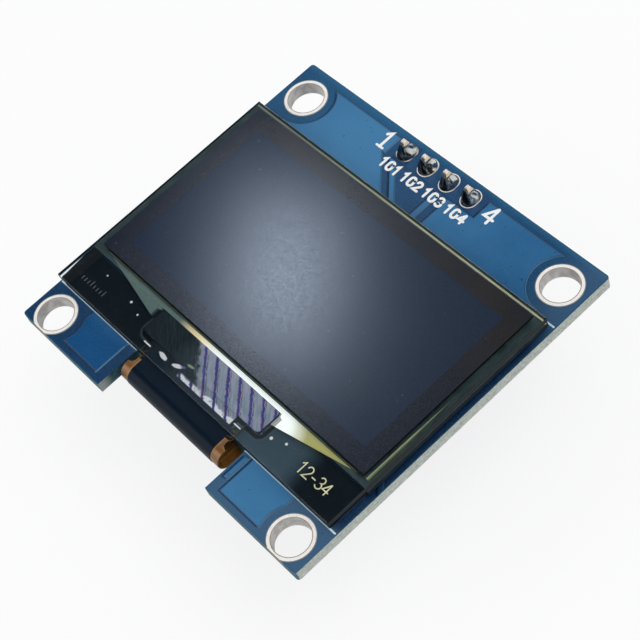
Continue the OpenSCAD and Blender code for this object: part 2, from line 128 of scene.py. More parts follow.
class BoardLook(bpy.types.PropertyGroup):
    mask_on_copper: tint("Mask on copper", "Solder mask where copper lies under it", (0.048, 0.19, 0.375))
    mask_on_fibre: tint("Mask on fibre", "Solder mask where no copper lies under it", (0.006, 0.035, 0.1))
    fibre: tint("Cut edge", "Glass fibre at the cut edges", (0.55, 0.6, 0.56))
    clear_radius: millimetres("Clear ring", "Radius without copper round the corner holes", 2.75)
    pour_inset: millimetres("Copper inset", "From the board's edge to its copper", 0.85)
    print_white: tint("Board print", "Print on the board", (0.8, 0.83, 0.82))
    print_width: millimetres("Print line", "Width of the printed lines", 0.16)


class MetalLook(bpy.types.PropertyGroup):
    tin: tint("Tin", "Plating of the rings, pads and part ends", (0.98, 0.96, 0.92))
    solder: tint("Solder", "Solder on the pins and contacts", (0.7, 0.69, 0.66))
    pin: tint("Pin", "Plating of the header pins", (0.86, 0.72, 0.55))
    solder_height: millimetres("Solder height", "Height of the solder above its pad", 1.15)


class DisplayLook(bpy.types.PropertyGroup):
    picture: tint("Picture", "Active area seen through the polarizer", (0.014, 0.023, 0.046))
    border: tint("Border", "Border of the active area", (0.011, 0.013, 0.022))
    pixel_pitch: millimetres("Pixel pitch", "Distance between the picture's dots", 0.23)
    edge_glow: tint("Glue line", "Cured glue at the glass's margins", (0.2, 0.25, 0.08))
    ledge_black: tint("Ledge backing", "Foam behind the ledge", (0.002, 0.005, 0.008))
    # Painted reflection: grey laid over the black foam's right half
    ledge_painted_sheen: tint("Ledge sheen", "Grey sheen on the foam behind the ledge", (0.036, 0.064, 0.09))
    marks: tint("Ledge marks", "Marks on the ledge", (0.75, 0.72, 0.45))
    glass_bevel: millimetres("Glass chamfer", "Ground edge of the front glass", 0.06)


class FlexLook(bpy.types.PropertyGroup):
    film: tint("Film", "Bare film of the flex cable", (0.24, 0.1, 0.018))
    cover: tint("Cover", "Black cover of the loop", (0.001, 0.007, 0.017))
    stripe_pitch: millimetres("Stripe pitch", "Distance between the head's slanting tracks", 1.443)
    stripe_start: millimetres("Stripe start", "Sum of X and Y on one slanting track", -8.54, -50, 50)


def number(name, description, value, low=-1000.0, high=1000.0):
    """A plain number."""
    return FloatProperty(name=name, description=description, default=value, min=low, max=high)


def numbers(name, description, *values):
    """Two or three numbers."""
    return FloatVectorProperty(name=name, description=description, default=values, size=len(values))


class StageLook(bpy.types.PropertyGroup):
    lens: number("Lens", "Focal length", 98.42)
    distance: millimetres("Distance", "From the camera to its target", 139.27, 50, 500)
    elevation: number("Elevation", "Camera above the board's plane, degrees", 55.014)
    azimuth: number("Azimuth", "Camera from -Y towards +X, degrees", 67.619)
    roll: number("Roll", "Camera about its view axis, degrees", -23.480)
    target: numbers("Target", "Point the camera looks at, millimetres", 2.713, -0.145, 1.2)
    floor_gap: millimetres("Floor gap", "From the pins' ends down to the floor", 3.0)
    floor_tone: tint("Floor", "Paper floor", (0.93, 0.93, 0.93))
    floor_white: number("Floor white", "Share of white that the camera sees on the floor", 0.8, 0, 1)
    room_soft: tint("Room light", "Even light of the room", (0.6, 0.6, 0.6))
    room_dim: tint("Room overhead", "What gloss shows high up in the room", (0.03, 0.05, 0.07))
    panel_slope: numbers("Panel slope", "Run over rise of the way to the light panel", -0.637, 0.25)
    panel_half: numbers("Panel size", "Half the light panel's size over its rise", 0.064, 0.13)
    panel_tone: tint("Panel tone", "Brightness of the light panel", (0.2, 0.28, 0.34))
    glow_slope: numbers("Glow slope", "Run over rise of the way to the glow lamp", -0.694, 0.272)
    glow_height: millimetres("Glow height", "Height of the glow lamp", 345, 100, 1000)
    glow_size: numbers("Glow size", "Length and width of the glow lamp, millimetres", 48, 28)
    glow_turn: number("Glow turn", "Turn of the glow lamp, degrees", -52)
    glow_power: number("Glow power", "Power of the glow lamp, watts", 0.068)
    glow_tone: tint("Glow tone", "Colour of the glow lamp", (0.7, 0.82, 1.0))


# ---------------------------------------------------------------- node maths


class Field:
    """A varying value in a node tree. Arithmetic on it adds Math nodes to the tree."""

    def __init__(self, recipe, socket):
        self.recipe, self.socket = recipe, socket

    def math(self, operation, *others):
        """The value of one Math node, with this value as its first input."""
        return self.recipe.add("ShaderNodeMath", {"operation": operation}, (self, *others))

    def __add__(self, other):
        return self.math("ADD", other)

    __radd__ = __add__

    def __sub__(self, other):
        return self.math("SUBTRACT", other)

    def __rsub__(self, other):
        return (self * -1) + other

    def __mul__(self, other):
        return self.math("MULTIPLY", other)

    __rmul__ = __mul__

    def __truediv__(self, other):
        return self.math("DIVIDE", other)

    def __abs__(self):
        return self.math("ABSOLUTE")

    def __and__(self, other):
        """Overlap of two masks or signed distances' far side: the smaller value."""
        return self.math("MINIMUM", other)

    def __or__(self, other):
        """Union of two masks: the larger value."""
        return self.math("MAXIMUM", other)

    def __mod__(self, period):
        return self.math("FLOORED_MODULO", period)

    def below(self, edge, soft=0.03):
        """1 where the value is below the edge and 0 above it, over a soft width."""
        return self.recipe.add("ShaderNodeMapRange", {"interpolation_type": "SMOOTHSTEP"},
                               {0: self, 1: edge + soft, 2: edge - soft})

    def ramp(self, low, high, start=0.0, end=1.0):
        """A straight ramp from start at the low value to end at the high one."""
        return self.recipe.add("ShaderNodeMapRange", {}, {0: self, 1: low, 2: high, 3: start, 4: end})


    def shade(self, low, high, off, on):
        """A colour that goes from off at the low value to on at the high one."""
        return self.recipe.mix(self.ramp(low, high), off, on)


class Recipe:
    """The node tree of one material. Every node comes from add()."""

    def __init__(self, name="", tree=None):
        if tree is None:
            self.material = bpy.data.materials.new(name)
            self.material.use_nodes = True
            tree = self.material.node_tree
        self.tree = tree
        self.tree.nodes.clear()

    def add(self, kind, settings=None, inputs=(), output=0):
        """Adds a node: its settings first, then each input as a number or a link."""
        node = self.tree.nodes.new(kind)
        for key, value in (settings or {}).items():
            setattr(node, key, value)
        for key, value in inputs.items() if isinstance(inputs, dict) else enumerate(inputs):
            if isinstance(value, Field):
                self.tree.links.new(value.socket, node.inputs[key])
            else:
                node.inputs[key].default_value = value
        return Field(self, node.outputs[output]) if node.outputs and output is not None else node

    def place(self, kind="Object", scale=1 / MM):
        """Object coordinates as three values in millimetres."""
        coords = self.add("ShaderNodeTexCoord", output=kind)
        scaled = self.add("ShaderNodeVectorMath", {"operation": "SCALE"}, {0: coords, 3: scale})
        split = self.add("ShaderNodeSeparateXYZ", {}, {0: scaled}, output=None)
        self.here = [Field(self, split.outputs[i]) for i in range(3)]
        return self.here

    def facing(self, axis=2):
        """One part of the surface normal: 0 for X, 1 for Y and 2 for Z."""
        normal = self.add("ShaderNodeNewGeometry", output="Normal")
        return self.add("ShaderNodeSeparateXYZ", inputs={0: normal}, output=axis)

    def noise(self, where, scale, detail=3.0):
        """Noise from 0 to 1 around 0.5 on a place given by three values, scaled per millimetre."""
        where = self.add("ShaderNodeCombineXYZ", inputs=where)
        return self.add("ShaderNodeTexNoise", {}, {"Vector": where, "Scale": scale, "Detail": detail})

    def grain(self, scale, detail=3.0):
        """Noise on the place itself, which place() has to have given first."""
        return self.noise(self.here, scale, detail)

    def mix(self, mask, off, on):
        """A colour that goes from off to on as the mask goes from 0 to 1."""
        colours = [c if isinstance(c, Field) else (*c[:3], 1.0) for c in (off, on)]
        return self.add("ShaderNodeMix", {"data_type": "RGBA"},
                        {0: mask, 6: colours[0], 7: colours[1]}, output=2)

    def coat(self, colour, *coats):
        """A colour with coats over it, each one a mask and its tone, the last one on top."""
        for mask, tone in coats:
            colour = self.mix(mask, colour, tone)
        return colour

    def bump(self, height, distance, strength=1.0, normal=None):
        """Normal of a relief whose height of 1 stands for a distance in millimetres."""
        inputs = {"Height": height, "Distance": distance * MM, "Strength": strength}
        if normal is not None:
            inputs["Normal"] = normal
        return self.add("ShaderNodeBump", {}, inputs)

    def shader(self, **sockets):
        """A Principled shader. Underscores in the sockets' names stand for spaces."""
        inputs = {}
        for key, value in sockets.items():
            flat = isinstance(value, (tuple, list)) or hasattr(value, "__len__")
            inputs[key.replace("_", " ")] = (*tuple(value)[:3], 1.0) if flat else value
        return self.add("ShaderNodeBsdfPrincipled", {}, inputs)

    def end(self, shader):
        """Leads a shader to the material's output and gives the material."""
        self.add("ShaderNodeOutputMaterial", {}, {"Surface": shader})
        return self.material

    def finish(self, **sockets):
        """Ends the tree in a Principled shader."""
        return self.end(self.shader(**sockets))


def begin(name):
    """The recipe of a new material, and X, Y and Z on it in millimetres."""
    recipe = Recipe(name)
    return recipe, *recipe.place()


def rectangle(x, y, low, high):
    """Signed distance to a rectangle's edge: below 0 inside it."""
    across = abs(x - (low[0] + high[0]) / 2) - (high[0] - low[0]) / 2
    along = abs(y - (low[1] + high[1]) / 2) - (high[1] - low[1]) / 2
    return across | along


def rounded_rectangle(x, y, low, high, radius):
    """Signed distance to a rectangle with round corners."""
    across = abs(x - (low[0] + high[0]) / 2) - (high[0] - low[0]) / 2 + radius
    along = abs(y - (low[1] + high[1]) / 2) - (high[1] - low[1]) / 2 + radius
    out_x, out_y = across | 0, along | 0
    return (out_x * out_x + out_y * out_y).math("SQRT") + ((across | along) & 0) - radius


def disc(x, y, centre, radius):
    """Signed distance to a circle: below 0 inside it."""
    dx, dy = x - centre[0], y - centre[1]
    return (dx * dx + dy * dy).math("SQRT") - radius


# ---------------------------------------------------------------- meshes


def solid_of_rings(rings):
    """Closed surface through rings of points (rings, points, 3), capped at both ends."""
    count, around = rings.shape[:2]
    row = np.arange(count - 1)[:, None] * around
    here, beside = np.arange(around)[None, :], (np.arange(around)[None, :] + 1) % around
    quads = np.stack([row + here, row + beside, row + around + beside, row + around + here], -1)
    faces = quads.reshape(-1, 4).tolist()
    faces.append(list(range(around))[::-1])
    faces.append(list(range((count - 1) * around, count * around)))
    return rings.reshape(-1, 3), faces


def add_piece(name, solids, material, replaces=(), smooth=False):
    """Joins (points, faces) pairs in millimetres into one piece that rides on the module."""
    points, faces, first = [], [], 0
    for solid_points, solid_faces in solids:
        points.append(solid_points)
        faces += [[index + first for index in face] for face in solid_faces]
        first += len(solid_points)
    mesh = bpy.data.meshes.new(name)
    mesh.from_pydata((np.concatenate(points) * MM).tolist(), [], faces)
    mesh.materials.append(material)
    if smooth:
        mesh.shade_smooth()
    mesh.update()
    piece = bpy.data.objects.new(name, mesh)
    bpy.context.scene.collection.objects.link(piece)
    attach(piece, BODY)
    if replaces:
        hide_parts(*replaces)
    return piece


def dress(material, *names):
    """Gives construction nodes a material."""
    for name in names:
        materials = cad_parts[name].data.materials
        materials.clear()
        materials.append(material)


def bevelled_plate(low, high, bevel, inset=0.0):
    """Plate with its long edges chamfered: four rings of corner points, drawn in by the chamfer
    at the lowest and the highest ring."""
    low, high = np.array(low, float) + inset, np.array(high, float) - inset
    rings = []
    for z, draw in ((low[2], bevel), (low[2] + bevel, 0), (high[2] - bevel, 0), (high[2], bevel)):
        x0, y0, x1, y1 = low[0] + draw, low[1] + draw, high[0] - draw, high[1] - draw
        rings.append([(x0, y0, z), (x1, y0, z), (x1, y1, z), (x0, y1, z)])
    return solid_of_rings(np.array(rings))


def ribbon(line, width, bottom, top):
    """Raised stroke with round ends along a line of (x, y) points.

    Each point gets a cross bar at right angles to the mean direction there, lengthened at bends
    by 1 / cos of half the bend. The ends shrink as a half circle does.
    """
    line = np.array(line, float)
    steps = np.diff(line, axis=0)
    steps /= np.linalg.norm(steps, axis=1)[:, None]
    before, after = np.vstack([steps[:1], steps]), np.vstack([steps, steps[-1:]])
    mean = before + after
    mean /= np.linalg.norm(mean, axis=1)[:, None]
    stretch = 1 / np.clip((mean * after).sum(1), 0.45, 1)
    half = np.full(len(line), width / 2) * stretch
    turn = np.linspace(0, math.pi / 2, 5)[1:]
    cap = np.stack([np.sin(turn), np.cos(turn)], 1) * width / 2
    start = line[0] - steps[0] * cap[::-1, :1]
    end = line[-1] + steps[-1] * cap[:, :1]
    centre = np.vstack([start, line, end])
    half = np.concatenate([np.maximum(cap[::-1, 1], 0.004), half, np.maximum(cap[:, 1], 0.004)])
    mean = np.vstack([np.repeat(steps[:1], 4, 0), mean, np.repeat(steps[-1:], 4, 0)])
    side = np.stack([-mean[:, 1], mean[:, 0]], 1) * half[:, None]
    left, right = centre + side, centre - side
    low, high = np.full((len(centre), 1), bottom), np.full((len(centre), 1), top)
    rings = np.stack([np.hstack([right, low]), np.hstack([left, low]),
                      np.hstack([left, high]), np.hstack([right, high])], 1)
    return solid_of_rings(rings)


def arc(centre, radii, start, end, count=9):
    """Points of an elliptic arc, its angles in degrees."""
    angle = np.radians(np.linspace(start, end, count))
    return np.stack([centre[0] + radii[0] * np.cos(angle), centre[1] + radii[1] * np.sin(angle)], 1).tolist()


# Height of the print on the board. Where strokes cross, each one's top is a step above the one before
PRINT_HEIGHT = 0.02
STROKE_STEP = 0.006

# Points round a printed dot
DISC_POINTS = 20

# Half the floor's width
FLOOR_HALF = 1500.0

# Strokes of plain numerals in a box 0.6 wide and 1 high
NUMERALS = {
    "0": [arc((0.3, 0.7), (0.27, 0.3), 0, 180) + arc((0.3, 0.3), (0.27, 0.3), 180, 360) + [(0.57, 0.7)]],
    "1": [[(0.1, 0.8), (0.33, 1.0), (0.33, 0.0)]],
    "2": [arc((0.3, 0.72), (0.27, 0.28), 165, -35) + [(0.03, 0.0), (0.58, 0.0)]],
    "3": [arc((0.28, 0.75), (0.25, 0.25), 150, -90) + arc((0.28, 0.26), (0.29, 0.26), 80, -150)],
    "4": [[(0.44, 0.0), (0.44, 0.96)], [(0.42, 0.98), (0.02, 0.3), (0.62, 0.3)]],
    "-": [[(0.12, 0.42), (0.48, 0.42)]],
}


def numerals(text, left, base, size, pitch, stroke, bottom, top, wide=1.0):
    """Strokes of a row of numerals: its left end, baseline, height and step between them."""
    solids = []
    for place, sign in enumerate(text):
        for layer, line in enumerate(NUMERALS.get(sign, ())):
            points = [(left + place * pitch + x * size * wide, base + y * size) for x, y in line]
            solids.append(ribbon(points, stroke, bottom,
                                 top + (layer + place % 2 * 2) * STROKE_STEP))
    return solids


# ---------------------------------------------------------------- materials of the board


def front_copper(look, x, y):
    """Copper on the board's front, as a mask: the pours less their clear zones, and two tracks."""
    pour_low, pour_high = BOARD_LOW[:2] + look.pour_inset, BOARD_HIGH[:2] - look.pour_inset
    pour = rectangle(x, y, (pour_low[0], LEDGE_LOW + 1), pour_high)
    slope = x + y - (PIN_Y - 2.3 - 4.6)
    clear = rectangle(x, y, (PINS[0][0] - 1.6, PIN_Y - 1.2), (PINS[3][0] + 1.5, PIN_Y + 1.15))
    tracks_zone = slope * -1 | x - 2.3 | y - (PIN_Y - 1.2)
    clear = clear & tracks_zone
    for hole in HOLES:
        clear = clear & disc(x, y, hole, look.clear_radius)
    corners = (abs(x) * -1 + HOLES[1][0]) | (y * -1 + GLASS_HIGH[1] - 1) | (y - HOLES[1][1])
    clear = clear & corners
    pour = pour | clear * -1
    tab_top = LEDGE_LOW + 0.2
    left_tab = rectangle(x, y, (-12.9, BOARD_FOOT + 0.7), (-8.1, tab_top))
    right_tab = rectangle(x, y, (8.05, BOARD_FOOT + 0.65), (12.9, tab_top))
    tabs = (left_tab & right_tab)
    for hole in HOLES[2:]:
        tabs = tabs | disc(x, y, hole, look.clear_radius) * -1
    strip = rectangle(x, y, (7.32, BOARD_FOOT + 1.65), (7.75, tab_top - 0.4))
    slant = abs(slope - 1.32) - 0.33
    slant = slant | y - (PIN_Y - 1.2)
    upright = rectangle(x, y, (0.95, 9), (1.4, PIN_Y - 1.2))
    return pour & tabs & strip & slant & upright


def rear_copper(x, y):
    """Copper on the board's rear, as a mask: a wide pour, clear zones round what is soldered."""
    pour = rectangle(x, y, BOARD_LOW[:2] + 0.8, BOARD_HIGH[:2] - 0.8)
    clear = rectangle(x, y, (PINS[0][0] - 1.6, PIN_Y - 1.4), (PINS[3][0] + 1.6, PIN_Y + 1.4))
    clear = clear & rectangle(x, y, (-6.9, -12.5), (6.9, -5.2))
    for hole in HOLES:
        clear = clear & disc(x, y, hole, 2.9)
    for column in range(6):
        centre = (column - 2.5) * 3.4
        clear = clear & rectangle(x, y, (centre - 0.75, -4.6), (centre + 0.75, -2.2))
    rows = rectangle(x, y, (-6.0, -1.0), (6.0, 1.8))
    clear = clear & rows & rectangle(x, y, (8.6, -0.9), (13.0, 3.1))
    return pour | clear * -1


def board_material(look):
    """Blue solder mask over copper and fibre, bare fibre at the cut edges, with painted sheen, painted shade
    and painted highlights in its colour.
    """
    recipe, x, y, z = begin("blue board")
    facing = recipe.facing()
    copper = recipe.add("ShaderNodeMix", {"data_type": "FLOAT"},
                        {0: facing.below(0, 0.01), 2: front_copper(look, x, y), 3: rear_copper(x, y)})
    on_copper = copper.below(0, 0.04)
    rim = abs(copper - 0.03).below(0.09, 0.05)
    front = 1 - facing.below(0)
    # Painted shade along the copper's edges on the sides away from the light, and a painted highlight on the
    # side towards it
    painted_relief_shade = front_copper(look, x + 0.13, y + 0.13).below(0, 0.06) * (1 - on_copper) * front
    painted_catch_light = front_copper(look, x - 0.1, y).below(0, 0.04) * (1 - on_copper) * front
    cloud = recipe.grain(0.35, 2)
    weave = recipe.noise((x * 2.2, y * 2.2, z), 2.6, 3)
    # Painted reflection: a soft sheen laid into the mask's colour by position, not by the lamps
    sheen = (abs(x + 7) - 2).ramp(16, 0, 0.4, 1.0) * (y + 11).ramp(-2, 2)
    sheen = sheen + (1 - (y + 11).ramp(-2, 2)) * x.ramp(3, 8, 0.0, 0.85)
    sheen = (sheen + (cloud - 0.5) * 0.35) & 1
    top_margin = (y - PIN_Y - 1).ramp(0, 0.4) * (1 - on_copper) * front
    by_pins = (rectangle(x, y, (-5.4, PIN_Y - 4.2), (5.3, PIN_Y + 1.1)) + (cloud - 0.5)).below(0, 0.3)
    mask_tone = recipe.coat(
        recipe.mix(sheen, look.mask_on_fibre, (0.014, 0.09, 0.2)),
        (on_copper, recipe.mix(sheen, (0.001, 0.062, 0.19), look.mask_on_copper)),
        (top_margin * 0.4, (0.03, 0.15, 0.29)),
        (by_pins * (1 - on_copper) * front * 0.35, (0.022, 0.04, 0.12)),
    )
    specks = recipe.grain(2.6, 1)
    upper = y.ramp(8.5, 11.5)
    # Painted shade on the strip of board under the panel's right edge
    painted_shade_strip = x.ramp(15.5, 16.5) * (1 - upper) * (1 - y.below(LEDGE_LOW, 0.4))
    # Painted shade along the board's edge
    edge = rectangle(x, y, BOARD_LOW[:2], BOARD_HIGH[:2])
    # Painted highlight along the left tab's right edge
    painted_glint = abs(x + 8.1).below(0.06, 0.03) * abs(y + 14).below(1.6, 0.05) * front
    # Painted sheen: a grey tone over the fibre at the lower right
    right_tab = (1 - (y + 11).ramp(-1, 0)) * x.ramp(4, 8) * (1 - on_copper)
    deep = recipe.coat(
        mask_tone,
        (rim * 0.35, (0.003, 0.024, 0.075)),
        # painted highlight, then painted shade, along the copper's edges
        (painted_catch_light * 0.45, (0.12, 0.3, 0.42)),
        (painted_relief_shade * 0.8, (0.002, 0.016, 0.055)),
        (specks.ramp(0.73, 0.76) * 0.7, (0.004, 0.03, 0.07)),
        # painted sheen towards the upper right edge
        (x.ramp(13, 16.5) * upper * (1 - on_copper) * 0.4, (0.07, 0.13, 0.22)),
        # painted shade under the panel's right edge
        (painted_shade_strip * 0.9, (0.001, 0.014, 0.05)),
        # painted shade along the board's edge
        ((edge * -1).below(0.12, 0.05) * 0.6, (0.006, 0.08, 0.16)),
        # painted sheen over the fibre at the lower right
        (right_tab * (1 - painted_relief_shade) * 0.35, (0.1, 0.15, 0.22)),
        # painted highlight on the left tab's edge
        (painted_glint * 0.6, (0.08, 0.22, 0.36)),
    )
    mottled = recipe.mix(weave.ramp(0.4, 0.75) * 0.1, deep, (0.1, 0.24, 0.36))
    layers = recipe.noise((x * 0.5, y * 0.5, z * 9), 2.0, 4)
    chips = recipe.noise((x, y, z * 2), 4.0, 3)
    worn = (y - (BOARD_FOOT + 0.1)).below(0) * abs(abs(x) - HOLES[1][0]).below(0.8, 0.4) * 0.8
    # Painted shade: cut faces that face -Y, away from the light, get a darker tone
    lower = recipe.facing(1).below(-0.5)
    streak = recipe.noise((x * 0.8, y, z * 2.5), 1.6, 3)
    # Painted shade on the notch's walls, where the flex keeps the light off
    notch = rectangle(x, y, (-7.2, BOARD_FOOT - 1), (7.2, -11.8)).below(0, 0.02)
    painted_shade_wall = streak.shade(0.4, 0.7, (0.01, 0.045, 0.056), (0.036, 0.11, 0.125))
    fibre = recipe.coat(
        look.fibre,
        (layers.ramp(0.35, 0.65), tuple(c * 0.6 for c in look.fibre)),
        (chips.ramp(0.5, 0.65) * 0.6, (0.66, 0.68, 0.58)),
        (chips.ramp(0.42, 0.34) * 0.5, (0.16, 0.2, 0.2)),
        # painted shade on the cut faces facing -Y
        (lower, streak.shade(0.35, 0.7, (0.035, 0.1, 0.13), (0.125, 0.21, 0.235))),
        (worn, (0.32, 0.28, 0.24)),
        # painted shade on the notch's walls, less near the board's foot
        (notch * (1 - y.below(BOARD_FOOT + 0.9, 0.6) * 0.6), painted_shade_wall),
    )
    cut = abs(facing).below(0.5)
    colour = recipe.mix(cut, mottled, fibre)
    relief = recipe.bump(copper.below(0, 0.12), 0.12, 1.0)
    peel = recipe.bump(recipe.grain(5.0, 2), 0.012, 0.5, relief)
    rough = cut.ramp(0, 1, 0.24, 0.7) + (weave - 0.5) * 0.1
    return recipe.finish(Base_Color=colour, Roughness=rough, Normal=peel, Specular_IOR_Level=0.2)


def tin_material(look):
    """Tin plating: bright, with shallow waves and fine pits, and painted shade on the barrel walls inside
    the holes.
    """
    recipe, x, y, _ = begin("tin plating")
    waves = recipe.grain(1.6, 3)
    pits = recipe.grain(9.0, 3)
    painted_shade_wall = abs(recipe.facing()).below(0.5)
    warm = recipe.coat(
        look.tin,
        (waves.ramp(0.35, 0.7), (0.95, 0.9, 0.82)),
        # painted shade on the barrel walls inside the holes
        (painted_shade_wall, waves.shade(0.4, 0.6, (0.6, 0.59, 0.57), (0.45, 0.43, 0.42))),
    )
    from_hole = disc(abs(x), abs(y), HOLES[1], 0)
    outer = abs(from_hole - RING_R + 0.03).below(0.04, 0.02)
    inner = abs(from_hole - HOLE_R - 0.03).below(0.04, 0.02)
    dull_and_painted_shade = recipe.coat(
        warm,
        (pits.ramp(0.5, 0.7) * 0.25, (0.42, 0.38, 0.33)),
        (outer * (1 - painted_shade_wall) * 0.85, (0.05, 0.075, 0.11)),
        (inner * (1 - painted_shade_wall) * 0.85, (0.24, 0.15, 0.08)),
    )
    normal = recipe.bump(waves * 0.7 + pits * 0.3, 0.05, 0.6)
    return recipe.finish(Base_Color=dull_and_painted_shade, Metallic=0.12, Roughness=waves.ramp(0.3, 0.7, 0.28, 0.46),
                         Normal=normal)


def solder_material(look):
    """Bright solder with matt patches and brown flux near its foot. Above the pads the side away
    from the light is painted darker, as painted shade."""
    recipe, x, y, z = begin("bright solder")
    patches = recipe.grain(2.4, 3)
    foot = z.below(BOARD_TOP + 0.25, 0.2) * patches.ramp(0.45, 0.6)
    pitch = PINS[1][0] - PINS[0][0]
    beside = (x - PINS[0][0] + pitch / 2) % pitch - pitch / 2
    lit = (beside + (y - PIN_Y) * 1.5 + (patches - 0.5) * 0.7).ramp(-0.55, 0.55)
    lit = lit | y.below(0, 1)
    bright = recipe.mix(patches.ramp(0.4, 0.75) * 0.5, look.solder, (0.42, 0.43, 0.38))
    # Painted shade on the side of each mound away from the light
    dull_and_painted_shade = recipe.mix(lit, (0.07, 0.09, 0.1), bright)
    colour = recipe.mix(foot * 0.6, dull_and_painted_shade, (0.16, 0.1, 0.05))
    normal = recipe.bump(recipe.grain(1.4, 2), 0.06, 0.3)
    return recipe.finish(Base_Color=colour, Metallic=1.0, Roughness=patches.ramp(0.3, 0.7, 0.1, 0.24),
                         Normal=normal)


def first_pad_material(look):
    """Square pad of the first pin: tin in a round opening, solder mask over its corners."""
    recipe, x, y, _ = begin("first pad")
    waves = recipe.grain(3.0, 3)
    opening = (disc(x, y, PINS[0], 0.95) + (waves - 0.5) * 0.06).below(0)
    tin = waves.shade(0.35, 0.7, look.tin, (0.6, 0.58, 0.52))
    mask = waves.shade(0.3, 0.7, (0.02, 0.05, 0.12), (0.03, 0.06, 0.13))
    colour = recipe.mix(opening, mask, tin)
    return recipe.finish(Base_Color=colour, Roughness=waves.ramp(0.3, 0.7, 0.3, 0.42),
                         Specular_IOR_Level=0.3, Normal=recipe.bump(waves, 0.02, 0.5))


def pin_material(look):
    """Thin gold-like plating, drawn along the pin, with sheared ends whose near-white tone is a painted
    highlight.
    """
    recipe, x, y, z = begin("pin plating")
    drawn = recipe.noise((x * 6, y * 6, z * 0.4), 3.0, 3)
    # The sheared ends are bare metal; their near-white tone is a painted highlight
    ends = abs(z - PIN_TOP).below(0.12, 0.05)
    colour = recipe.coat(
        look.pin,
        (drawn.ramp(0.3, 0.7), tuple(c * 0.75 for c in look.pin)),
        (ends, (1.0, 0.9, 0.8)),
    )
    return recipe.finish(Base_Color=colour, Metallic=1 - ends * 0.6,
                         Roughness=drawn.ramp(0.3, 0.7, 0.2, 0.34), Normal=recipe.bump(drawn, 0.01, 0.5))


def moulded_material(name, colour, rough=0.45, grain=8.0, gloss=0.5):
    """Moulded plastic, ceramic or foam with a fine grain."""
    recipe, *_ = begin(name)
    fine = recipe.grain(grain, 3)
    tone = fine.shade(0.3, 0.7, colour, tuple(min(1, c * 1.35 + 0.004) for c in colour))
    return recipe.finish(Base_Color=tone, Roughness=fine.ramp(0.3, 0.7, rough - 0.06, rough + 0.08),
                         Normal=recipe.bump(fine, 0.02, 0.5), Specular_IOR_Level=gloss)


# Plain materials: name, colour, roughness and grains per millimetre
PLAIN = {
    "header_body": ("header plastic", (0.012, 0.012, 0.013), 0.42, 6.0),
    "rear_glass": ("backed cap glass", (0.01, 0.016, 0.02), 0.12, 1.0),
    "mounting_tape": ("foam tape", (0.1, 0.11, 0.12), 0.8, 9.0),
    "drying_sheet": ("drying sheet", (0.7, 0.7, 0.68), 0.7, 9.0),
    "driver_chip": ("chip silicon", (0.03, 0.03, 0.035), 0.2, 2.0),
    "regulator_body": ("regulator moulding", (0.016, 0.016, 0.018), 0.5, 9.0),
    "resistor_bodies": ("resistor glaze", (0.02, 0.02, 0.022), 0.25, 5.0),
    "capacitor_bodies": ("capacitor ceramic", (0.32, 0.2, 0.11), 0.45, 8.0),
}


def dress_plain(*names):
    """Gives construction nodes their plain materials."""
    for name in names:
        dress(moulded_material(*PLAIN[name]), name)


# ---------------------------------------------------------------- materials of the display


def glass_material():
    """Clear display glass with a faint green cast, its cut sides and the ledge's left end dark."""
    recipe, x, y, z = begin("display glass")
    smear = recipe.grain(0.4, 2)
    clear = recipe.shader(Base_Color=(0.97, 0.99, 0.98), Roughness=smear.ramp(0.45, 0.8, 0.0, 0.03),
                          Transmission_Weight=1.0, IOR=1.5)
    scuffs = recipe.noise((x, y, z * 4), 2.0, 3)
    dark = scuffs.shade(0.5, 0.75, (0.002, 0.003, 0.004), (0.012, 0.018, 0.02))
    edge = recipe.shader(Base_Color=dark, Roughness=scuffs.ramp(0.3, 0.7, 0.35, 0.5), Specular_IOR_Level=0.2)
    side = abs(recipe.facing()).below(0.3, 0.05)
    end = x.below(GLASS_LOW[0] + 1.4) * y.below(LEDGE_TOP) * z.below(GLASS_LOW[2] + 0.02, 0.01)
    wedge = (x - GLASS_LOW[0] - y.ramp(LEDGE_LOW, LEDGE_TOP - 0.6, 0.32, 0)).below(0, 0.02)
    masked = side | end * (1 - wedge)
    return recipe.end(recipe.add("ShaderNodeMixShader", {}, {0: masked, 1: clear, 2: edge}))


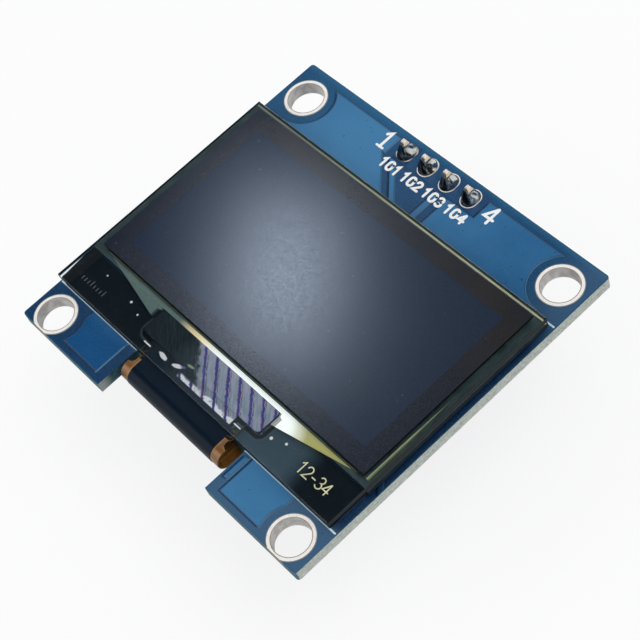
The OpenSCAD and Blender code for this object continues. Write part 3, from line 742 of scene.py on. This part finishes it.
def polarizer_material(look):
    """Dark film; the active area shows through it as a slate field of fine dots, bluer at the left from a
    painted reflection tint.
    """
    recipe, x, y, _ = begin("polarizer film")
    inside = rectangle(x, y, PIXELS_LOW[:2], PIXELS_HIGH[:2]).below(0, 0.05)
    column = abs((x / look.pixel_pitch) % 1 - 0.5).below(0.42, 0.08)
    row = abs((y / look.pixel_pitch) % 1 - 0.5).below(0.42, 0.08)
    haze = recipe.grain(0.12, 2)
    grain = recipe.grain(5.0, 3)
    slate = recipe.coat(
        tuple(c * 0.8 for c in look.picture),
        (column * row * 0.5, look.picture),
        (haze.ramp(0.35, 0.65) * 0.35, tuple(c * 0.75 for c in look.picture)),
        # painted reflection tint: bluer towards the left
        (x.ramp(-14, -3, 1, 0), (0.006, 0.013, 0.034)),
    )
    warm = recipe.coat(
        look.border,
        (y.ramp(-2, 8), (0.021, 0.018, 0.017)),
        (x.ramp(-16, -14.5, 1, 0), (0.004, 0.006, 0.016)),
    )
    border = recipe.mix(haze.ramp(0.4, 0.6) * 0.5, warm, tuple(c * 0.8 for c in look.border))
    sparkle = recipe.grain(7.0, 2)
    dust = recipe.grain(1.7, 2).ramp(0.72, 0.76) * 0.25
    colour = recipe.coat(
        border,
        (inside, slate),
        (sparkle.ramp(0.45, 0.75) * 0.12, (0.05, 0.062, 0.09)),
        (dust, (0.12, 0.12, 0.13)),
    )
    film = recipe.shader(Base_Color=colour, Roughness=grain.ramp(0.3, 0.7, 0.15, 0.19), IOR=1.5,
                         Normal=recipe.bump(grain, 0.004, 0.3))
    side = recipe.shader(Base_Color=(0.004, 0.006, 0.006), Roughness=0.8, Specular_IOR_Level=0.05)
    cut = abs(recipe.facing()).below(0.5)
    return recipe.end(recipe.add("ShaderNodeMixShader", {}, {0: cut, 1: film, 2: side}))


def seam_material(look):
    """Glue between the sheets: dark, with the fan-out below the picture, a painted shadow and a painted
    highlight line under the polarizer's edge, and pale cured lines at the top and right margins.
    """
    recipe, x, y, _ = begin("glass seam")
    cloud = recipe.grain(0.8, 2)
    dark = cloud.shade(0.4, 0.6, (0.012, 0.03, 0.035), (0.022, 0.045, 0.048))
    lower = y.below(FILM_LOW + 0.1, 0.02) * fan_mask(x, y)
    from_film = y * -1 + FILM_LOW
    # Painted shadow of the polarizer's edge, then a painted highlight line just below it
    film_edge_shadow = from_film.below(0.2, 0.015) * lower
    painted_glint = abs(from_film - 0.1).below(0.025, 0.015) * lower
    bar = (abs(x - 16.64) - y.ramp(1.3, -4, 0, 0.12)).below(0, 0.02) * y.below(1.3, 0.1)
    bar = bar * (1 - y.below(FILM_LOW, 0.02))
    core = 1 - (x - 16.6).below(0.03, 0.02)
    glue = recipe.mix(core, (0.5, 0.52, 0.34), look.edge_glow)
    top = abs(y - (GLASS_HIGH[1] - 0.22)).below(0.075, 0.025)
    warm = x.shade(-12, 4, (0.25, 0.27, 0.2), (0.6, 0.58, 0.34))
    colour = recipe.coat(
        dark,
        (lower, fan_colour(recipe, x, y)),
        # painted shadow, then painted highlight, under the polarizer's edge
        (film_edge_shadow, (0.01, 0.022, 0.016)),
        (painted_glint * 0.8, (0.36, 0.44, 0.27)),
        (bar, glue),
        (top, warm),
    )
    gleam = recipe.mix(lower * (1 - film_edge_shadow), (0, 0, 0), fan_gleam(recipe, x, y))
    return recipe.finish(Base_Color=colour, Roughness=cloud.ramp(0.3, 0.7, 0.4, 0.5),
                         Emission_Color=gleam, Emission_Strength=1.0)


def stripes(recipe, look, x, y):
    """Slanting tracks of the flex head: grey bands parted by violet and blue lines, lit on the
    right by a painted reflection and black on the left in painted shade, with painted highlights as bright
    flecks and an oval streak where they come to the lower edge."""
    slant = x + y
    wander = recipe.noise((x, y, 0.0), 1.3, 3)
    fine = recipe.noise((slant * 2, (y - x) * 3, 0.5), 1.1, 3)
    along = (slant - look.stripe_start + (fine - 0.5) * 0.42) / look.stripe_pitch
    off = abs((along + 0.5) % 1 - 0.5) + (wander - 0.5) * 0.06
    beside = abs((along + 0.27) % 1 - 0.5)
    streaks = recipe.noise((slant * 3, (x - y) * 0.25, 0.2), 2.2, 3)
    band = recipe.coat(
        (0.15, 0.21, 0.26),
        (streaks.ramp(0.3, 0.7), (0.33, 0.33, 0.42)),
        ((y - LEDGE_TOP + 1.2).ramp(0, 1.4) * wander.ramp(0.3, 0.6) * 0.6, (0.42, 0.4, 0.5)),
    )
    violet = fine.shade(0.4, 0.6, (0.09, 0.015, 0.12), (0.02, 0.04, 0.26))
    low_edge = LEDGE_LOW + 0.95
    # Painted highlights: bright flecks near the lower edge
    flecks = (y - low_edge + (wander - 0.5) * 0.9).below(0, 0.1) * off.ramp(0.08, 0.15)
    lit = recipe.coat(
        band,
        (beside.below(0.03, 0.03) * fine.ramp(0.42, 0.58), (0.02, 0.03, 0.03)),
        (off.below(0.12, 0.05), violet),
        (flecks * fine.ramp(0.3, 0.45), (0.85, 0.84, 0.88)),
    )
    # Painted shade: the left part of the head is dark, the right lit by a painted reflection
    dim = streaks.shade(0.4, 0.8, (0.004, 0.009, 0.013), (0.02, 0.03, 0.036))
    edge = slant + (wander - 0.5) * 1.5 + 10.75
    shade = edge.below(0, 0.2) * (1 - ((y - low_edge).below(0, 0.1) * (1 - x.below(-1.7, 0.2))))
    broken = abs(edge - 0.1).below(0.5, 0.3) * streaks.ramp(0.4, 0.6)
    # Painted highlights: a white oval and streak near the lower edge
    oval = disc(x, (y + x * 0.12) * 2.7, (-4.07, (-11.02 - 4.07 * 0.12) * 2.7), 0.5)
    streak = disc(x + y * 0.4, y * 2.6 - x, (-2.45 - 10.85 * 0.4, 2.45 - 10.85 * 2.6), 0.5)
    tail = disc(x + y * 0.4, y * 2.6 - x, (-1.95 - 10.6 * 0.4, 1.95 - 10.6 * 2.6), 0.3)
    chip_place = (-1.45 * 0.8 - 10.15 * 0.4, 1.45 * 0.4 - 10.15 * 3.2)
    chip = disc(x * 0.8 + y * 0.4, y * 3.2 - x * 0.4, chip_place, 0.34)
    colour = recipe.coat(
        recipe.mix(shade, lit, dim),
        (broken * 0.5, (0.16, 0.16, 0.19)),
        # painted highlight: white oval and streak
        (((oval & streak) + (fine - 0.5) * 0.4).below(0, 0.08), (0.8, 0.8, 0.82)),
        (tail.below(0, 0.1) * 0.7, (0.2, 0.12, 0.4)),
    )
    return recipe.mix((chip + (fine - 0.5) * 0.5).below(0, 0.08) * 0.8, colour, (0.3, 0.36, 0.28))


def fan_mask(x, y):
    """Mask of the fan-out: it narrows from the polarizer's lower edge to the flex head."""
    half = TRACKS_HIGH[0] + (y - TRACKS_HIGH[1]) * FAN_SLOPE
    return (abs(x) - half).below(0, 0.04)


def fan_gleam(recipe, x, y):
    """Light of its own that stands for the lamp thrown back by the fan-out's metal: cream, then
    white, then olive at its far end. It doesn't change with the view."""
    tone = recipe.coat(
        (0.3, 0.22, 0.1),
        (x.ramp(-3.2, -1.2), (0.3, 0.31, 0.3)),
        ((x + y * 0.6).ramp(3.6, 5.6), (0.1, 0.1, 0.02)),
    )
    return recipe.mix(x.ramp(-5.6, -4.2) * fan_mask(x, y), (0, 0, 0), tone)


def fan_colour(recipe, x, y):
    """Metal of the fan-out: grey-green at the left, then the lamp's reflection painted in as cream and white
    at the right, and olive at its far end.
    """
    fine = recipe.noise((x * 3, y * 0.7, 0.0), 3.0, 2)
    left = fine.shade(0.3, 0.7, (0.13, 0.19, 0.165), (0.1, 0.15, 0.14))
    # Painted reflection of the lamp: cream, then white towards the right
    cream = x.shade(-5.5, -2.5, left, (0.8, 0.68, 0.42))
    right = x.shade(-2.6, -0.6, cream, (0.93, 0.97, 0.93))
    return recipe.mix((x + y * 0.6).ramp(3.6, 5.6), right, (0.36, 0.33, 0.12))


def ledge_tone(recipe, look, x):
    """Black behind the ledge, with a grey sheen over its right half that is a painted reflection."""
    # Painted reflection of the room over the right half
    sheen = abs(x - 6.6).below(5.4, 1.2)
    return recipe.mix(sheen, look.ledge_black, look.ledge_painted_sheen)


def head_edge(x, y):
    """Signed distance to the flex head's outline as it shows through the ledge."""
    upper = rounded_rectangle(x, y, (-HEAD_HALF - 0.05, TRACKS_LOW[1] - 0.05),
                              (HEAD_HALF - 0.05, LEDGE_TOP + 0.08), 0.45)
    lower = rounded_rectangle(x, y, (-5.9, LEDGE_LOW - 1), (4.95, TRACKS_LOW[1] + 2), 0.3)
    return upper & lower


def head_tone(recipe, flex, x, y, around):
    """The flex head's stripes, inside a black line with a grey rim that is wide at its ends."""
    head = head_edge(x, y)
    ends = 1 - (y * -1 + LEDGE_TOP).below(0.3, 0.05)
    colour = recipe.coat(
        around,
        ((head - ends * 0.3 - 0.22).below(0, 0.04),
         recipe.mix(x.below(0, 3), (0.05, 0.07, 0.09), (0.03, 0.045, 0.05))),
        ((head - ends * 0.26 - 0.04).below(0, 0.04), (0.001, 0.001, 0.002)),
    )
    return recipe.mix((head + 0.06).below(0, 0.04), colour, stripes(recipe, flex, x, y))


def foam_material(look, flex):
    """Fine black foam behind the ledge."""
    recipe, x, y, _ = begin("black foam")
    cells = recipe.grain(6.0, 3)
    colour = recipe.mix(cells.ramp(0.4, 0.8) * 0.3, ledge_tone(recipe, look, x), (0.02, 0.025, 0.03))
    colour = head_tone(recipe, flex, x, y, colour)
    return recipe.finish(Base_Color=colour, Roughness=cells.ramp(0.3, 0.7, 0.7, 0.85),
                         Specular_IOR_Level=0.06, Normal=recipe.bump(cells, 0.02, 0.3))


def tracks_material(look, flex):
    """Fan-out on the ledge: fine metal tracks, and the flex head's slanting ones over the middle."""
    recipe, x, y, _ = begin("electrode tracks")
    triangle = fan_colour(recipe, x, y)
    below_fan = (y - (LEDGE_TOP - FAN_DROP)).below(0, 0.01)
    colour = recipe.mix(below_fan, triangle, ledge_tone(recipe, look, x))
    colour = head_tone(recipe, flex, x, y, colour)
    rough = recipe.grain(3.0, 2)
    covered = (head_edge(x, y) - 0.1).below(0) | below_fan
    gleam = recipe.mix(covered, fan_gleam(recipe, x, y), (0, 0, 0))
    return recipe.finish(Base_Color=colour, Roughness=rough.ramp(0.3, 0.7, 0.45, 0.6),
                         Specular_IOR_Level=0.1, Emission_Color=gleam, Emission_Strength=1.0)


def flex_material(look):
    """Brown film with fine copper lines, with painted shade on the loop's low, downward faces. Under the
    ledge it is black, with the head's stripes.
    """
    recipe, x, y, z = begin("flex film")
    copper = abs((x / 0.35) % 1 - 0.5).below(0.28, 0.08) * abs(x).below(5.6, 0.1)
    cloud = recipe.grain(1.2, 3)
    film = recipe.coat(
        look.film,
        (cloud.ramp(0.35, 0.7), tuple(c * 0.5 for c in look.film)),
        (copper * 0.35, (0.45, 0.24, 0.08)),
        # painted shade on low parts of the loop that face down
        (z.below(1.2, 0.5) * recipe.facing().below(0.2) * 0.85, (0.05, 0.014, 0.004)),
    )
    on_front = 1 - z.below(FLEX_TOP - 0.02, 0.005)
    tuck = LEDGE_LOW - 0.06 - abs(x).below(6.3, 0.1) * 0.3
    under = on_front * (1 - (y - tuck).below(0, 0.02))
    patch = 1 - y.below(LEDGE_LOW + 0.5, 0.04)
    crumbs = recipe.noise((x * 2.5, y * 2.5, z), 1.4, 4)
    dark = recipe.mix(crumbs.ramp(0.5, 0.66) * (abs(x) - 5.0).ramp(0, 0.1), (0.004, 0.006, 0.008),
                      (0.1, 0.075, 0.05))
    under_tone = recipe.mix(patch, dark, head_tone(recipe, look, x, y, dark))
    bare = recipe.shader(Base_Color=film, Roughness=cloud.ramp(0.3, 0.7, 0.22, 0.32), IOR=1.6,
                         Normal=recipe.bump(copper, 0.02, 0.4))
    covered = recipe.shader(Base_Color=under_tone, Roughness=0.6, Specular_IOR_Level=0.08)
    return recipe.end(recipe.add("ShaderNodeMixShader", {}, {0: under, 1: bare, 2: covered}))


def cover_material(look):
    """Black cover film, slightly wavy and glossy."""
    recipe, x, y, z = begin("cover film")
    waves = recipe.noise((x * 0.3, y, z), 0.9, 2)
    specks = recipe.grain(7.0, 2)
    colour = recipe.mix(specks.ramp(0.55, 0.8) * 0.2, look.cover, (0.012, 0.028, 0.045))
    return recipe.finish(Base_Color=colour, Roughness=specks.ramp(0.3, 0.7, 0.3, 0.4),
                         Normal=recipe.bump(waves, 0.05, 0.6), Specular_IOR_Level=0.15)


# ---------------------------------------------------------------- operators


class OLED_OT_dress_board(bpy.types.Operator):
    """Solder mask, copper pattern and cut edges of the circuit board"""

    bl_idname = "oled.dress_board"
    bl_label = "Dress Circuit Board"

    def execute(self, context):
        dress(board_material(context.scene.oled_board), "circuit_board")
        return {"FINISHED"}


class OLED_OT_dress_plating(bpy.types.Operator):
    """Tin on the corner holes, pads, leads and part ends"""

    bl_idname = "oled.dress_plating"
    bl_label = "Dress Plating"

    def execute(self, context):
        tin = tin_material(context.scene.oled_metal)
        rings = [f"hole_plating_{n}" for n in range(1, 5)]
        pads = [f"pin_pad_{n}" for n in range(2, 5)]
        dress(first_pad_material(context.scene.oled_metal), "pin_pad_1")
        dress(tin, *rings, *pads, "contact_pads", "regulator_leads", "resistor_ends",
              "capacitor_ends", "part_pads")
        return {"FINISHED"}


class OLED_OT_dress_header(bpy.types.Operator):
    """Plastic strip and plated pins of the header"""

    bl_idname = "oled.dress_header"
    bl_label = "Dress Header"

    def execute(self, context):
        dress_plain("header_body")
        dress(pin_material(context.scene.oled_metal), *[f"header_pin_{n}" for n in range(1, 5)])
        return {"FINISHED"}


def solder_mound(centre, height, seed):
    """Solder round a pin, as rings from its foot to its top.

    With u from 0 at the foot to 1 at the top, the radius falls from the pad's oval to the pin's
    square as (1 - u) to the power 1.9, plus a few slow waves round the pin that make it lumpy.
    """
    around, levels = 64, 26
    angle = np.linspace(0, 2 * math.pi, around, endpoint=False)[None, :]
    u = np.linspace(0, 1, levels)[:, None]
    pin_r = PIN_W / 2 / np.maximum(abs(np.cos(angle)), abs(np.sin(angle))) + 0.015
    pad_r = (0.97 if seed == 1 else 0.93) * (1 - 0.17 * np.cos(angle) ** 2)
    fall = (1 - u) ** 1.9
    phase = seed * 2.399
    lumps = 0.07 * np.sin(2 * angle + phase + 2.5 * u) + 0.045 * np.sin(3 * angle - 2 * phase + 4 * u)
    lumps = lumps + 0.025 * np.sin(5 * angle + 3 * phase) * np.sin(math.pi * u)
    swell = np.sin(math.pi * np.clip(u * 1.05, 0, 1)) ** 0.8
    radius = pin_r + (pad_r - pin_r) * fall + (lumps + 0.12) * swell * 0.9
    radius = np.maximum(radius, pin_r)
    top = height * (1 + 0.16 * np.sin(angle + phase))
    z = BOARD_TOP + 0.05 + u * top
    rings = np.stack([centre[0] + radius * np.cos(angle), centre[1] + radius * np.sin(angle), z], -1)
    return solid_of_rings(rings)


class OLED_OT_build_solder(bpy.types.Operator):
    """Lumpy solder mounds on the header's front, and solder on the flex contacts"""

    bl_idname = "oled.build_solder"
    bl_label = "Build Solder"

    def execute(self, context):
        look = context.scene.oled_metal
        solder = solder_material(look)
        for n, pin in enumerate(PINS, 1):
            mound = solder_mound(pin, look.solder_height, n)
            add_piece(f"solder_mound_{n}", [mound], solder,
                      replaces=(f"solder_joint_{n}",), smooth=True)
        dress(solder, "contact_solder")
        return {"FINISHED"}


class OLED_OT_build_board_print(bpy.types.Operator):
    """White print: outline of the display's place, pin numbers and plain numbers below the pins"""

    bl_idname = "oled.build_board_print"
    bl_label = "Build Board Print"

    def execute(self, context):
        look = context.scene.oled_board
        low, high = BOARD_TOP, BOARD_TOP + PRINT_HEIGHT
        outline = []
        for y, spans in ((GLASS_HIGH[1] + 0.27, ((-17.5, 17.5),)),
                         (LEDGE_LOW + 0.08, ((-17.5, -7.05), (7.05, 17.5)))):
            for x0, x1 in spans:
                outline.append(ribbon([(x0, y), (x1, y)], look.print_width, low, high))
        thin_paint = moulded_material("thin print", (0.4, 0.55, 0.6), 0.6, 10.0, 0.2)
        add_piece("display_outline", outline, thin_paint)
        lines = []
        one_left, one_base = -6.75, PIN_Y - 1.0
        lines += numerals("1", one_left, one_base, 1.65, 1, 0.27, low, high)
        foot = [(one_left + 0.2, one_base), (one_left + 0.9, one_base)]
        lines.append(ribbon(foot, 0.22, low, high + STROKE_STEP))
        lines += numerals("4", 5.75, PIN_Y - 0.95, 1.65, 1, 0.25, low, high)
        for group, text in enumerate(("101", "102", "103", "104")):
            lines += numerals(text, -5.0 + group * 2.6, PIN_Y - 2.3, 0.88, 0.79, 0.23, low, high, 1.05)
        paint = moulded_material("board print", tuple(look.print_white), 0.5, 10.0)
        add_piece("board_print", lines, paint)
        return {"FINISHED"}


class OLED_OT_dress_panel(bpy.types.Operator):
    """Rear glass, seam, tape and the hidden sheets of the display"""

    bl_idname = "oled.dress_panel"
    bl_label = "Dress Panel"

    def execute(self, context):
        look = context.scene.oled_display
        dress_plain("rear_glass", "mounting_tape", "drying_sheet", "driver_chip")
        dress(seam_material(look), "edge_seal")
        dress(moulded_material("pixel layer", tuple(look.picture), 0.4, 6.0), "pixel_layer")
        dress(foam_material(look, context.scene.oled_flex), "ledge_pad")
        dress(tracks_material(look, context.scene.oled_flex), "electrode_tracks")
        return {"FINISHED"}


class OLED_OT_build_front_glass(bpy.types.Operator):
    """Front glass with ground edges, a hair clear of the layers it lies between"""

    bl_idname = "oled.build_front_glass"
    bl_label = "Build Front Glass"

    def execute(self, context):
        look = context.scene.oled_display
        plate = bevelled_plate(GLASS_LOW, GLASS_HIGH, look.glass_bevel, 0.004)
        piece = add_piece("display_glass", [plate], glass_material(),
                          replaces=("front_glass",))
        piece.visible_shadow = False
        return {"FINISHED"}


class OLED_OT_dress_polarizer(bpy.types.Operator):
    """Polarizer film with the active area under it"""

    bl_idname = "oled.dress_polarizer"
    bl_label = "Dress Polarizer"

    def execute(self, context):
        dress(polarizer_material(context.scene.oled_display), "polarizer")
        return {"FINISHED"}


def disc_solid(centre, radius, low, high):
    """Flat round mark: two rings of points."""
    angle = np.linspace(0, 2 * math.pi, DISC_POINTS, endpoint=False)
    ring = np.stack([centre[0] + radius * np.cos(angle), centre[1] + radius * np.sin(angle)], 1)
    rings = np.stack([np.column_stack([ring, np.full(DISC_POINTS, z)]) for z in (low, high)])
    return solid_of_rings(rings)


class OLED_OT_build_ledge_marks(bpy.types.Operator):
    """Plain numbers, dots and bars seen through the ledge"""

    bl_idname = "oled.build_ledge_marks"
    bl_label = "Build Ledge Marks"

    def execute(self, context):
        look = context.scene.oled_display
        low, high = GLASS_LOW[2] - 0.03, GLASS_LOW[2] - 0.005
        base = LEDGE_LOW + 1.42
        yellow = moulded_material("ledge marks", tuple(look.marks), 0.5, 10.0)
        add_piece("ledge_numbers", numerals("12-34", 11.8, base, 1.0, 0.7, 0.1, low, high), yellow)
        dots = [((-10.2, 2.5), 0.11), ((-8.8, 2.05), 0.09), ((-13.9, 2.8), 0.08), ((8.4, 1.95), 0.14),
                ((9.7, 2.4), 0.12)]
        marks = [disc_solid((x, LEDGE_LOW + y), radius, low, high) for (x, y), radius in dots]
        for x0, x1 in ((-6.35, -5.6), (5.2, 5.9)):
            marks.append(ribbon([(x0, LEDGE_LOW + 0.86), (x1, LEDGE_LOW + 0.86)], 0.11, low, high))
        white = moulded_material("white marks", (0.8, 0.82, 0.82), 0.5, 10.0)
        add_piece("ledge_dots", marks, white)
        ticks = []
        for n in range(9):
            x = -15.9 + n * 0.4
            height = 0.5 if n % 4 == 0 else 0.3
            ticks.append(ribbon([(x, LEDGE_LOW + 1.2), (x, LEDGE_LOW + 1.2 + height)], 0.07, low, high))
        grey = moulded_material("faint marks", (0.1, 0.11, 0.12), 0.5, 10.0)
        add_piece("ledge_scale", ticks, grey)
        return {"FINISHED"}


class OLED_OT_dress_flex(bpy.types.Operator):
    """Film and black cover of the flex cable"""

    bl_idname = "oled.dress_flex"
    bl_label = "Dress Flex Cable"

    def execute(self, context):
        look = context.scene.oled_flex
        dress(flex_material(look), "flex_cable")
        dress(cover_material(look), "flex_cover")
        return {"FINISHED"}


class OLED_OT_dress_rear_parts(bpy.types.Operator):
    """Regulator, resistors and capacitors on the board's rear"""

    bl_idname = "oled.dress_rear_parts"
    bl_label = "Dress Rear Parts"

    def execute(self, context):
        dress_plain("regulator_body", "resistor_bodies", "capacitor_bodies")
        return {"FINISHED"}


def aim(piece, place, target, roll=0.0):
    """Puts a camera or lamp at a place, looking at a target, both in millimetres."""
    forward = (Vector(target) - Vector(place)).normalized()
    right = forward.cross(Vector((0, 0, 1))).normalized()
    up = right.cross(forward)
    turn = Matrix.Rotation(roll, 3, forward)
    axes = Matrix((turn @ right, turn @ up, -forward)).transposed().to_4x4()
    piece.matrix_world = Matrix.Translation(Vector(place) * MM) @ axes


def add_lamp(name, place, size, power, colour=(1, 1, 1), turn=0.0):
    """Oblong soft lamp aimed at the origin, its size in millimetres and its power in watts."""
    data = bpy.data.lights.new(name, "AREA")
    data.shape = "RECTANGLE"
    data.size, data.size_y, data.energy, data.color = size[0] * MM, size[1] * MM, power, colour
    lamp = bpy.data.objects.new(name, data)
    bpy.context.scene.collection.objects.link(lamp)
    aim(lamp, place, (0, 0, 0), turn)


class OLED_OT_build_stage(bpy.types.Operator):
    """Camera, paper floor, lamps and surroundings"""

    bl_idname = "oled.build_stage"
    bl_label = "Build Stage"

    def execute(self, context):
        look = context.scene.oled_stage
        scene = context.scene
        scene.view_settings.view_transform = "Standard"
        elevation, azimuth = math.radians(look.elevation), math.radians(look.azimuth)
        away = Vector((math.sin(azimuth) * math.cos(elevation), -math.cos(azimuth) * math.cos(elevation),
                       math.sin(elevation)))
        data = bpy.data.cameras.new("camera")
        data.lens, data.clip_start = look.lens, 0.001
        camera = bpy.data.objects.new("camera", data)
        scene.collection.objects.link(camera)
        aim(camera, Vector(look.target) + away * look.distance, look.target, -math.radians(look.roll))
        scene.camera = camera
        self.build_floor(look)
        self.build_surroundings(look)
        add_lamp("top lamp", (150, 140, 460), (360, 360), 0.95)
        add_lamp("front lamp", (-260, -330, 260), (260, 260), 0.32)
        glow = Vector((*look.glow_slope, 1)) * look.glow_height
        add_lamp("glow lamp", glow, look.glow_size, look.glow_power, look.glow_tone,
                 math.radians(look.glow_turn))
        return {"FINISHED"}

    def build_floor(self, look):
        """A paper sheet below the pins, as a flat grid of two by two points."""
        low = CAD_BOUNDS[0][2] / MM - look.floor_gap
        half = FLOOR_HALF
        corners = np.array([[-half, -half, low], [half, -half, low], [half, half, low], [-half, half, low]])
        mesh = bpy.data.meshes.new("paper_floor")
        mesh.from_pydata((corners * MM).tolist(), [], [[0, 1, 2, 3]])
        recipe, *_ = begin("floor paper")
        fibre = recipe.grain(1.5, 2)
        tone = fibre.shade(0.3, 0.7, look.floor_tone, tuple(c * 0.995 for c in look.floor_tone))
        paper = recipe.shader(Base_Color=tone, Roughness=fibre.ramp(0, 1, 0.85, 0.95))
        white = recipe.add("ShaderNodeEmission", {}, {"Color": (1, 1, 1, 1), "Strength": 1.0})
        seen = recipe.add("ShaderNodeLightPath", output="Is Camera Ray")
        mesh.materials.append(recipe.end(recipe.add("ShaderNodeMixShader", {},
                                                    {0: seen * look.floor_white, 1: paper, 2: white})))
        floor = bpy.data.objects.new("paper_floor", mesh)
        bpy.context.scene.collection.objects.link(floor)

    def build_surroundings(self, look):
        """White to the camera. In gloss and through glass: white round the horizon, dim overhead,
        with one dim blue-grey panel where the display mirrors the camera's line of sight."""
        world = bpy.data.worlds.new("studio")
        bpy.context.scene.world = world
        world.use_nodes = True
        recipe = Recipe(tree=world.node_tree)
        rays = recipe.add("ShaderNodeLightPath", output=None)
        camera, glossy, through = (Field(recipe, rays.outputs[f"Is {kind} Ray"])
                                   for kind in ("Camera", "Glossy", "Transmission"))
        dx, dy, dz = recipe.place("Generated", 1.0)
        rise = dz | 0.05
        panel = abs(dx / rise - look.panel_slope[0]).below(look.panel_half[0], 0.012)
        panel = panel * abs(dy / rise - look.panel_slope[1]).below(look.panel_half[1], 0.05)
        room = dz.shade(0.1, 0.45, (1.0, 1.0, 1.0), look.room_dim)
        mirrored = recipe.mix(panel * (dz - 0.1).ramp(0, 0.1), room, look.panel_tone)
        soft = recipe.mix(glossy | through, look.room_soft, mirrored)
        colour = recipe.mix(camera, soft, (1.0, 1.0, 1.0))
        light = recipe.add("ShaderNodeBackground", {}, {0: colour, 1: 1.0})
        recipe.add("ShaderNodeOutputWorld", {}, {"Surface": light})


# ---------------------------------------------------------------- panel and registration

OPERATORS = (
    OLED_OT_dress_board,
    OLED_OT_dress_plating,
    OLED_OT_dress_header,
    OLED_OT_build_solder,
    OLED_OT_build_board_print,
    OLED_OT_dress_panel,
    OLED_OT_build_front_glass,
    OLED_OT_dress_polarizer,
    OLED_OT_build_ledge_marks,
    OLED_OT_dress_flex,
    OLED_OT_dress_rear_parts,
    OLED_OT_build_stage,
)

LOOKS = {
    "oled_board": BoardLook,
    "oled_metal": MetalLook,
    "oled_display": DisplayLook,
    "oled_flex": FlexLook,
    "oled_stage": StageLook,
}


class OLED_PT_module(bpy.types.Panel):
    """Lists the steps that dress the module"""

    bl_idname = "OLED_PT_module"
    bl_label = "OLED Module"
    bl_space_type = "VIEW_3D"
    bl_region_type = "UI"
    bl_category = "OLED Module"

    def draw(self, context):
        for group in LOOKS:
            look = getattr(context.scene, group)
            for name in look.__annotations__:
                self.layout.prop(look, name)
        for operator in OPERATORS:
            self.layout.operator(operator.bl_idname)


CLASSES = (*LOOKS.values(), *OPERATORS, OLED_PT_module)


def register():
    for item in CLASSES:
        bpy.utils.register_class(item)
    for group, look in LOOKS.items():
        setattr(bpy.types.Scene, group, PointerProperty(type=look))


def unregister():
    for group in LOOKS:
        delattr(bpy.types.Scene, group)
    for item in reversed(CLASSES):
        bpy.utils.unregister_class(item)


def main():
    register()
    for operator in OPERATORS:
        getattr(bpy.ops.oled, operator.bl_idname.split(".")[1])()


if __name__ == "__main__":
    main()
